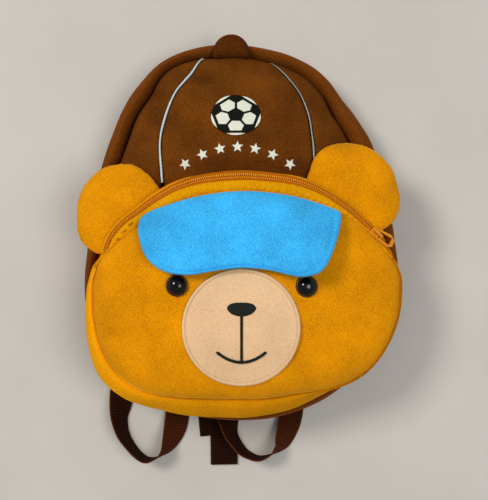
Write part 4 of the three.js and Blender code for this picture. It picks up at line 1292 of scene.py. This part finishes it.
def visor_under(x, y, inward):
    return visor_base(x, y) + 1.4 * (1 - dome(8 * inward))


def visor_over(x, y, inward):
    """The visor's cloth, with a rolled edge and a sewn groove round its free side."""
    swell = lerp(VISOR["edge"], VISOR["thick"], dome(2.2 * inward))
    free = smoothstep(50 - y, 0, 16)
    roll = 1.0 * free * bell(inward - 0.034, 0.022)
    groove = 1.5 * free * bell(inward - 0.07, 0.013)
    loose = smoothstep(inward, 0.05, 0.3) * slack("visor", x, y)
    return visor_base(x, y) + swell + roll - groove + loose


def add_visor():
    shape = pad(closed_curve(VISOR_OUTLINE, 320), VISOR["pole"], VISOR_ROWS, visor_under, visor_over)
    piece("visor_pad", shape, BLUE, "visor")


MUZZLE_ROWS = (
    0, 0.003, 0.008, 0.015, 0.024, 0.034, 0.044, 0.052, 0.06, 0.068, 0.078, 0.092, 0.11,
    0.14, 0.18, 0.24, 0.31, 0.4, 0.5, 0.61, 0.73, 0.85, 0.95,
)
MUZZLE_STITCH = {"inward": 0.056, "width": 0.01, "depth": 0.28, "turns": 62}
MUZZLE_LINE = {"inward": 0.06, "width": 0.009, "shade": 0.3}


def muzzle_top(x, y):
    inward = 1 - np.hypot(x - MUZZLE["x"], y - MUZZLE["y"]) / MUZZLE["radius"]
    rim = 1.5 * dome(inward / 0.032) - 0.75 * smoothstep(inward, 0.045, 0.06)
    crown = (MUZZLE["rise"] - 1.7) * smoothstep(inward, 0.06, 0.75)
    return face_height(x, y) + GAP + 0.8 + rim + crown


def muzzle_under(x, y, inward):
    return face_height(x, y) + GAP


def muzzle_over(x, y, inward):
    """The muzzle's cloth, with a line of stitches inside its edge."""
    angle = np.arctan2(y - MUZZLE["y"], x - MUZZLE["x"])
    along = np.abs(np.sin(angle * MUZZLE_STITCH["turns"]))
    on_line = bell(inward - MUZZLE_STITCH["inward"], MUZZLE_STITCH["width"])
    stitch = MUZZLE_STITCH["depth"] * along * on_line
    return muzzle_top(x, y) - stitch + smoothstep(inward, 0.05, 0.3) * slack("muzzle", x, y)


def add_muzzle():
    middle = (MUZZLE["x"], MUZZLE["y"])
    outline = middle + ring_section(MUZZLE["radius"], 280)
    shape = pad(outline, middle, MUZZLE_ROWS, muzzle_under, muzzle_over)
    muzzle = piece("muzzle_pad", shape, PEACH, "muzzle")
    # Painted shade along the stitched groove inside the muzzle's edge
    line = MUZZLE_LINE["shade"] * bell(np.array(MUZZLE_ROWS) - MUZZLE_LINE["inward"], MUZZLE_LINE["width"])
    line = np.repeat(line, len(outline))
    label(muzzle, "shaded", np.concatenate([line, line, [0, 0]]))


NOSE = {"x": 1.3, "y": -25.6, "half": 10.3, "up": 4.2, "down": 5.6, "rise": 0.9, "thread": 0.62}
NOSE_OUTLINE = [
    (-1, 0.05), (-0.82, 0.68), (-0.42, 0.97), (0, 1), (0.42, 0.97), (0.82, 0.68), (1, 0.05),
    (0.8, -0.52), (0.42, -0.88), (0, -1), (-0.42, -0.88), (-0.8, -0.52),
]
MOUTH = {"x": 1.3, "low": -64.0, "left": -16.5, "right": 19.0, "corner": -56.5, "width": 2.2, "rise": 0.9}
STITCH_PITCH = 0.6


def satin(path, width, rise):
    """A raised line of close stitches that cross it."""
    run = run_along(path)
    stitch = np.abs(np.sin(math.pi * run / STITCH_PITCH))
    taper = dome(np.minimum(run, run[-1] - run) / (0.6 * width))
    half = width / 2 * (0.9 + 0.13 * stitch) * np.maximum(taper, 0.2)
    high = rise / 2 * (0.72 + 0.34 * stitch)
    section = ring_section(1.0, 14)[None] * np.stack([half, high], 1)[:, None, :]
    return tube(path, *frames_along(path), section)


def nose_under(x, y, inward):
    return muzzle_top(x, y) + 0.15


def nose_over(x, y, inward):
    threads = 0.16 * np.abs(np.sin(math.pi * (x + 0.12 * y) / NOSE["thread"]))
    return nose_under(x, y, inward) + NOSE["rise"] * (0.25 + 0.75 * dome(inward * 3)) + threads


def add_nose():
    outline = [
        (NOSE["x"] + x * NOSE["half"], NOSE["y"] + y * (NOSE["up"] if y > 0 else NOSE["down"]))
        for x, y in reversed(NOSE_OUTLINE)
    ]
    rows = np.linspace(0, 0.97, 34)
    shape = pad(closed_curve(outline, 240), (NOSE["x"], NOSE["y"]), rows, nose_under, nose_over)
    piece("nose_stitches", shape, DARK_THREAD, "nose")


def add_mouth():
    """The smile, and the line from the nose down to it."""
    share = np.linspace(0, 1, 400)
    x = lerp(MOUTH["left"], MOUTH["right"], share)
    y = lerp(MOUTH["low"], MOUTH["corner"], (2 * share - 1) ** 2)
    smile = even(np.stack([x, y, muzzle_top(x, y) + 0.45], 1), 400)
    y = np.linspace(NOSE["y"] - NOSE["down"] + 0.6, MOUTH["low"], 400)
    x = 0 * y + MOUTH["x"]
    line = even(np.stack([x, y, muzzle_top(x, y) + 0.5], 1), 400)
    shapes = [satin(smile, MOUTH["width"], MOUTH["rise"]), satin(line, MOUTH["width"] * 0.9, MOUTH["rise"])]
    piece("mouth_stitches", merged(shapes), DARK_THREAD, "mouth")


EYES = {"eye_left": (-45.0, -9.2), "eye_right": (48.0, -9.8)}
EYE_BASE = (6.8, 0.2)
EYE_TOP = 6.0
# Radius and height, from the top down, and round the rim's section
EYE_PROFILE = [
    (0.0, EYE_TOP), (1.6, 5.9), (3.2, 5.45), (4.6, 4.7), (5.6, 3.8), (6.3, 2.8), (6.65, 1.9), (6.8, 1.45),
]
EYE_RIM_PROFILE = [
    (6.5, 0.6), (6.75, 1.5), (7.1, 1.75), (7.6, 1.6), (7.95, 1.1),
    (8.0, 0.5), (7.9, 0.0), (6.5, 0.0), (6.5, 0.6),
]
EYE_AROUND = 64


def eye_frame(x, y):
    """Where an eye sits on the face: its origin, its direction outwards, and its turn."""
    step = 2.0
    slope_x = (face_height(x + step, y) - face_height(x - step, y)) / (2 * step)
    slope_y = (face_height(x, y + step) - face_height(x, y - step)) / (2 * step)
    outwards = Vector((-slope_x, -slope_y, 1)).normalized()
    turn = np.array(outwards.to_track_quat("Z", "Y").to_matrix())
    outwards = np.array(outwards)
    return np.array([x, y, float(face_height(x, y))]) + outwards * GAP, outwards, turn


def lathe(rows, origin, turn):
    around = full_turn(EYE_AROUND)
    rings = [np.stack([r * np.cos(around), r * np.sin(around), 0 * around + z], 1) for r, z in rows]
    return np.array(rings) @ turn.T + origin


def add_eyes():
    for node, (x, y) in EYES.items():
        origin, outwards, turn = eye_frame(x, y)
        profile = spline(EYE_PROFILE, 30)[:0:-1]
        ends = np.array([origin + EYE_BASE[1] * outwards, origin + EYE_TOP * outwards])
        shape = closed_rings(lathe([EYE_BASE, *profile], origin, turn), ends)
        piece(f"{node}_dome", shape, EYE_BLACK, node)
        rings = lathe(spline(EYE_RIM_PROFILE, 40)[:-1], origin, turn)
        count = len(rings) * EYE_AROUND
        faces = [tuple(i % count for i in face) for face in grid_faces(len(rings) + 1, EYE_AROUND, True)]
        piece(f"{node}_rim", (rings.reshape(-1, 3), face_out(faces, rings)), EYE_RIM)


# Embroidery on the crown

BALL = {"x": -3.0, "y": 121.0, "across": 19.0, "along": 16.5}
BALL_SPOKES = (54, 126, 198, 270, 342)
# Corners of the white fields in each spoke: degrees off the spoke, share of the ball's radius
BALL_HEXAGON = [(-28, 0.34), (28, 0.34), (32, 0.61), (16, 0.82), (-16, 0.82), (-32, 0.61)]
BALL_SLIVER = [
    (-23, 0.99), (-11, 1.01), (0, 1.015), (11, 1.01), (23, 0.99), (12, 0.925), (0, 0.905), (-12, 0.925),
]
STARS = {"count": 7, "left": -41.5, "right": 38.0, "top": 95.5, "drop": 12.5, "outer": 4.7, "inner": 2.1}
FILL_PITCH = 0.7


def patch(outline, pole, rows, base, rise, ridge, turn):
    """A low embroidered pad on the crown, with ridges of thread across a direction."""
    def under(x, y, inward):
        return crown_surface(x, y) + base

    def over(x, y, inward):
        along = x * math.cos(turn) + y * math.sin(turn)
        threads = ridge * np.abs(np.sin(math.pi * along / FILL_PITCH))
        return under(x, y, inward) + rise * (0.3 + 0.7 * dome(inward * 5)) + threads

    return pad(outline, pole, rows, under, over)


def polygon(corners, count):
    """A polygon's edge divided evenly."""
    return even(np.array([*corners, corners[0]], float), count + 1)[:-1]


def on_ball(radius, degrees):
    turn = np.radians(degrees)
    x = BALL["x"] + BALL["across"] * radius * np.cos(turn)
    return x, BALL["y"] + BALL["along"] * radius * np.sin(turn)


def add_ball():
    outline = [on_ball(1.0, degrees) for degrees in np.linspace(0, 360, 200, endpoint=False)]
    shape = patch(outline, (BALL["x"], BALL["y"]), np.linspace(0, 0.96, 40), GAP, 0.55, 0.08, 1.2)
    piece("ball_black_stitches", shape, BALL_BLACK, "ball_patch")
    shapes = []
    for spoke in BALL_SPOKES:
        for corners in (BALL_HEXAGON, BALL_SLIVER):
            field = [on_ball(radius, spoke + degrees) for degrees, radius in corners]
            shapes.append(patch(
                polygon(field, 84), np.mean(field, axis=0), np.linspace(0, 0.95, 16),
                GAP + 0.4, 0.4, 0.08, math.radians(spoke),
            ))
    piece("ball_white_stitches", merged(shapes), WHITE_THREAD)


def add_stars():
    """An arc of small stars between the ball and the pocket."""
    span = STARS["right"] - STARS["left"]
    shapes = []
    for share in np.linspace(0, 1, STARS["count"]):
        off_middle = (share - 0.5) * 2
        x = lerp(STARS["left"], STARS["right"], share)
        y = STARS["top"] - STARS["drop"] * off_middle ** 2
        lean = -math.atan2(4 * STARS["drop"] * off_middle, span)
        corners = []
        for k in range(10):
            radius = STARS["inner"] if k % 2 else STARS["outer"]
            turn = math.pi / 2 + k * math.pi / 5 + lean
            corners.append((x + radius * math.cos(turn), y + radius * math.sin(turn)))
        shapes.append(patch(polygon(corners, 120), (x, y), np.linspace(0, 0.95, 18), 0.05, 0.75, 0.1, lean))
    piece("star_stitches", merged(shapes), WHITE_THREAD)


# Straps

WEB = {"width": 20.0, "thick": 1.4}
LOOPS = {
    # x, y, how steeply the webbing stands in degrees, height of what it lies on
    "web_loop_left": [
        (-93, -70, 0, 0), (-97, -90, 8, 0), (-98, -104, 28, 0), (-98.5, -117, 56, 0), (-95.5, -129, 68, 0),
        (-90, -138, 76, 0), (-83, -146, 80, 0), (-75.5, -150.5, 82, 0), (-66, -147.5, 74, 0),
        (-59.5, -141.5, 60, 0), (-55, -131, 36, 0), (-52.5, -120, 15, 0), (-51, -104, 3, 0),
        (-51, -92, 0, 0), (-51, -37, 0, 0),
    ],
    "web_loop_right": [
        (-11, -92, 0, 1.8), (-10.5, -110, 8, 1.8), (-9, -120, 38, 1.8), (-6.4, -130.7, 60, 2),
        (1.1, -141.5, 69, 1.6), (8, -146.5, 76, 0.6), (16, -149, 80, 0), (25, -146, 70, 0),
        (31, -141.5, 55, 0), (35, -136, 41, 0), (40.7, -120.5, 15, 0),
        (43, -106, 3, 0), (44, -92, 0, 0), (51, -37, 0, 0),
    ],
}
LOOP_STEPS = 900
LOOP_STATIONS = 1000
LOOP_SMOOTHING = 25
LOOP_FLOOR_GAP = 0.25
LOOP_PAINTED_LIGHT = 0.38
TAIL = {
    # start, end, width, thickness, stations
    "web_tail_run": ((-30, -56), (-23, -132), WEB["width"], WEB["thick"], 240),
    "web_tail_hem": ((-13.5, -129), (-13, -155.5), 22.0, WEB["thick"] * 1.9, 120),
}
RIB_PITCH = 2.0
RIBBON_PROFILE = np.array([-1, -0.985, -0.95, -0.9, -0.6, -0.3, 0, 0.3, 0.6, 0.9, 0.95, 0.985, 1])


def add_ribbon(name, node, material, path, across, up, width, thick, painted_light=0.0):
    """Webbing with ribs across it and a thicker selvedge, paler where light is painted on it, with painted
    shade between its ribs.
    """
    run = run_along(path)
    wave = np.cos(2 * math.pi * run / RIB_PITCH)
    rib = 0.5 + 0.5 * wave
    fray = 0.12 * np.sin(run * 9.1) + 0.1 * np.sin(run * 23.7)
    edge = smoothstep(np.abs(RIBBON_PROFILE), 0.88, 0.97)
    top = []
    low = []
    for share, rim in zip(RIBBON_PROFILE, edge):
        relief = (1 - rim) * 0.4 * (rib - 1) + rim * (-0.1 + 0.12 * wave)
        round_off = 0.55 * smoothstep(abs(share), 0.94, 1.0)
        half = thick / 2 * (1 - round_off) + relief
        sideways = share * (width / 2) + np.sign(share) * rim * fray
        top.append(np.stack([sideways, half], 1))
        low.append(np.stack([sideways, -half], 1))
    section = np.array(top + low[::-1]).transpose(1, 0, 2)
    obj = piece(name, tube(path, across, up, section), material, node)
    around = len(RIBBON_PROFILE) * 2
    # The pale selvedge, and painted light where it is given
    selvedge_and_painted_light = np.tile(np.concatenate([edge, edge[::-1]]), len(path)) * 0.7
    selvedge_and_painted_light = np.maximum(selvedge_and_painted_light, np.repeat(painted_light + np.zeros(len(path)), around))
    label(obj, "edge", np.append(selvedge_and_painted_light, [0, 0]))
    # Painted shade in the furrows between the ribs
    label(obj, "furrow", np.append(np.repeat(1 - rib, around), [0, 0]))


def add_loops():
    """The two loops, which stand on edge on the floor where they turn."""
    kernel = np.ones(LOOP_SMOOTHING) / LOOP_SMOOTHING
    for node, route in LOOPS.items():
        rows = even(spline(route, LOOP_STEPS), LOOP_STEPS)
        padded_rows = np.pad(rows, ((LOOP_SMOOTHING // 2, LOOP_SMOOTHING // 2), (0, 0)), "edge")
        smooth = np.stack([np.convolve(column, kernel, "valid") for column in padded_rows.T], 1)
        x, y, rise, floor = even(smooth, LOOP_STATIONS).T
        lean = np.radians(np.maximum(rise, 0))
        along = np.gradient(np.stack([x, y, 0 * x], 1), axis=0)
        along /= np.linalg.norm(along, axis=1, keepdims=True)
        across = np.stack([-np.cos(lean), 0 * lean, np.sin(lean)], 1)
        across -= along * np.sum(along * across, axis=1, keepdims=True)
        across /= np.linalg.norm(across, axis=1, keepdims=True)
        up = np.cross(across, along)
        height = (WEB["width"] * np.abs(across[:, 2]) + WEB["thick"] * np.abs(up[:, 2])) / 2
        centre = np.stack([x, y, np.maximum(floor, 0) + height + LOOP_FLOOR_GAP], 1)
        # Painted light on each loop's right limb, which turns towards the lamp, most towards its lower end
        lower_end = lerp(0.25, 1, smoothstep(-y, 104, 140))
        painted_light = LOOP_PAINTED_LIGHT * smoothstep(x - x[np.argmin(y)], 3, 15) * lower_end
        add_ribbon(f"{node}_webbing", node, WEBBING, centre, across, up, WEB["width"], WEB["thick"], painted_light)


def add_tail():
    """The tail's run and its hemmed end, a double layer."""
    for name, (start, end, width, thick, count) in TAIL.items():
        path = np.linspace((*start, thick / 2), (*end, thick / 2), count)
        across, up = frames_along(path)
        add_ribbon(name, "web_tail", DARK_WEBBING, path, across, up, width, thick)


SHOULDER = {"width": 40.0, "thick": 4.4, "groove": 0.6}
SHOULDER_ROUTE = [(51, -28), (58, 15), (52, 75), (33, 128), (24, 150)]


def shoulder_section():
    """A padded band with a sewn groove along both edges of its top."""
    share = np.linspace(-1, 1, 27)
    half = SHOULDER["thick"] / 2
    edge = np.where(np.abs(share) > 0.97, 0.55, 1.0)
    groove = SHOULDER["groove"] * bell(np.abs(share) - 0.84, 0.025)
    crown = half * (0.8 + 0.2 * np.sqrt(np.maximum(1 - (share * 1.02) ** 2, 0))) - groove
    sideways = share * SHOULDER["width"] / 2
    top = np.stack([sideways, crown * edge], 1)
    low = np.stack([sideways, -edge * half], 1)
    return np.concatenate([top, low[::-1]])


def add_shoulder_straps():
    count = 200
    route = spline(SHOULDER_ROUTE, count)
    section = np.repeat(shoulder_section()[None], count, 0)
    for side, sign in (("left", -1), ("right", 1)):
        middle = np.full(count, SHOULDER["thick"] / 2)
        path = even(np.stack([sign * route[:, 0], route[:, 1], middle], 1), count)
        node = f"shoulder_strap_{side}"
        strap = piece(f"{node}_pad", tube(path, *frames_along(path), section), LINING, node)
        node = f"strap_adjuster_{side}"
        add_bevelled(node, f"{node}_plate", 0.0005, PLASTIC, BAG)


add_camera()
add_floor()
add_lights()
add_rim()
add_crown_centre()
add_crown_side("left", -1)
add_crown_side("right", 1)
add_front_lower()
add_piping()
add_button()
add_main_zip()
add_back()
add_face()
add_gusset()
add_facing()
add_facing_stitches()
add_tape()
add_teeth()
add_bevelled("zip_slider", "zip_slider_body", 0.0003, ZIP_METAL, BAG)
add_bevelled("zip_pull", "zip_pull_frame", 0.0003, ZIP_METAL, PULL)
add_ears()
add_visor()
add_muzzle()
add_nose()
add_mouth()
add_eyes()
add_ball()
add_stars()
add_loops()
add_tail()
add_shoulder_straps()
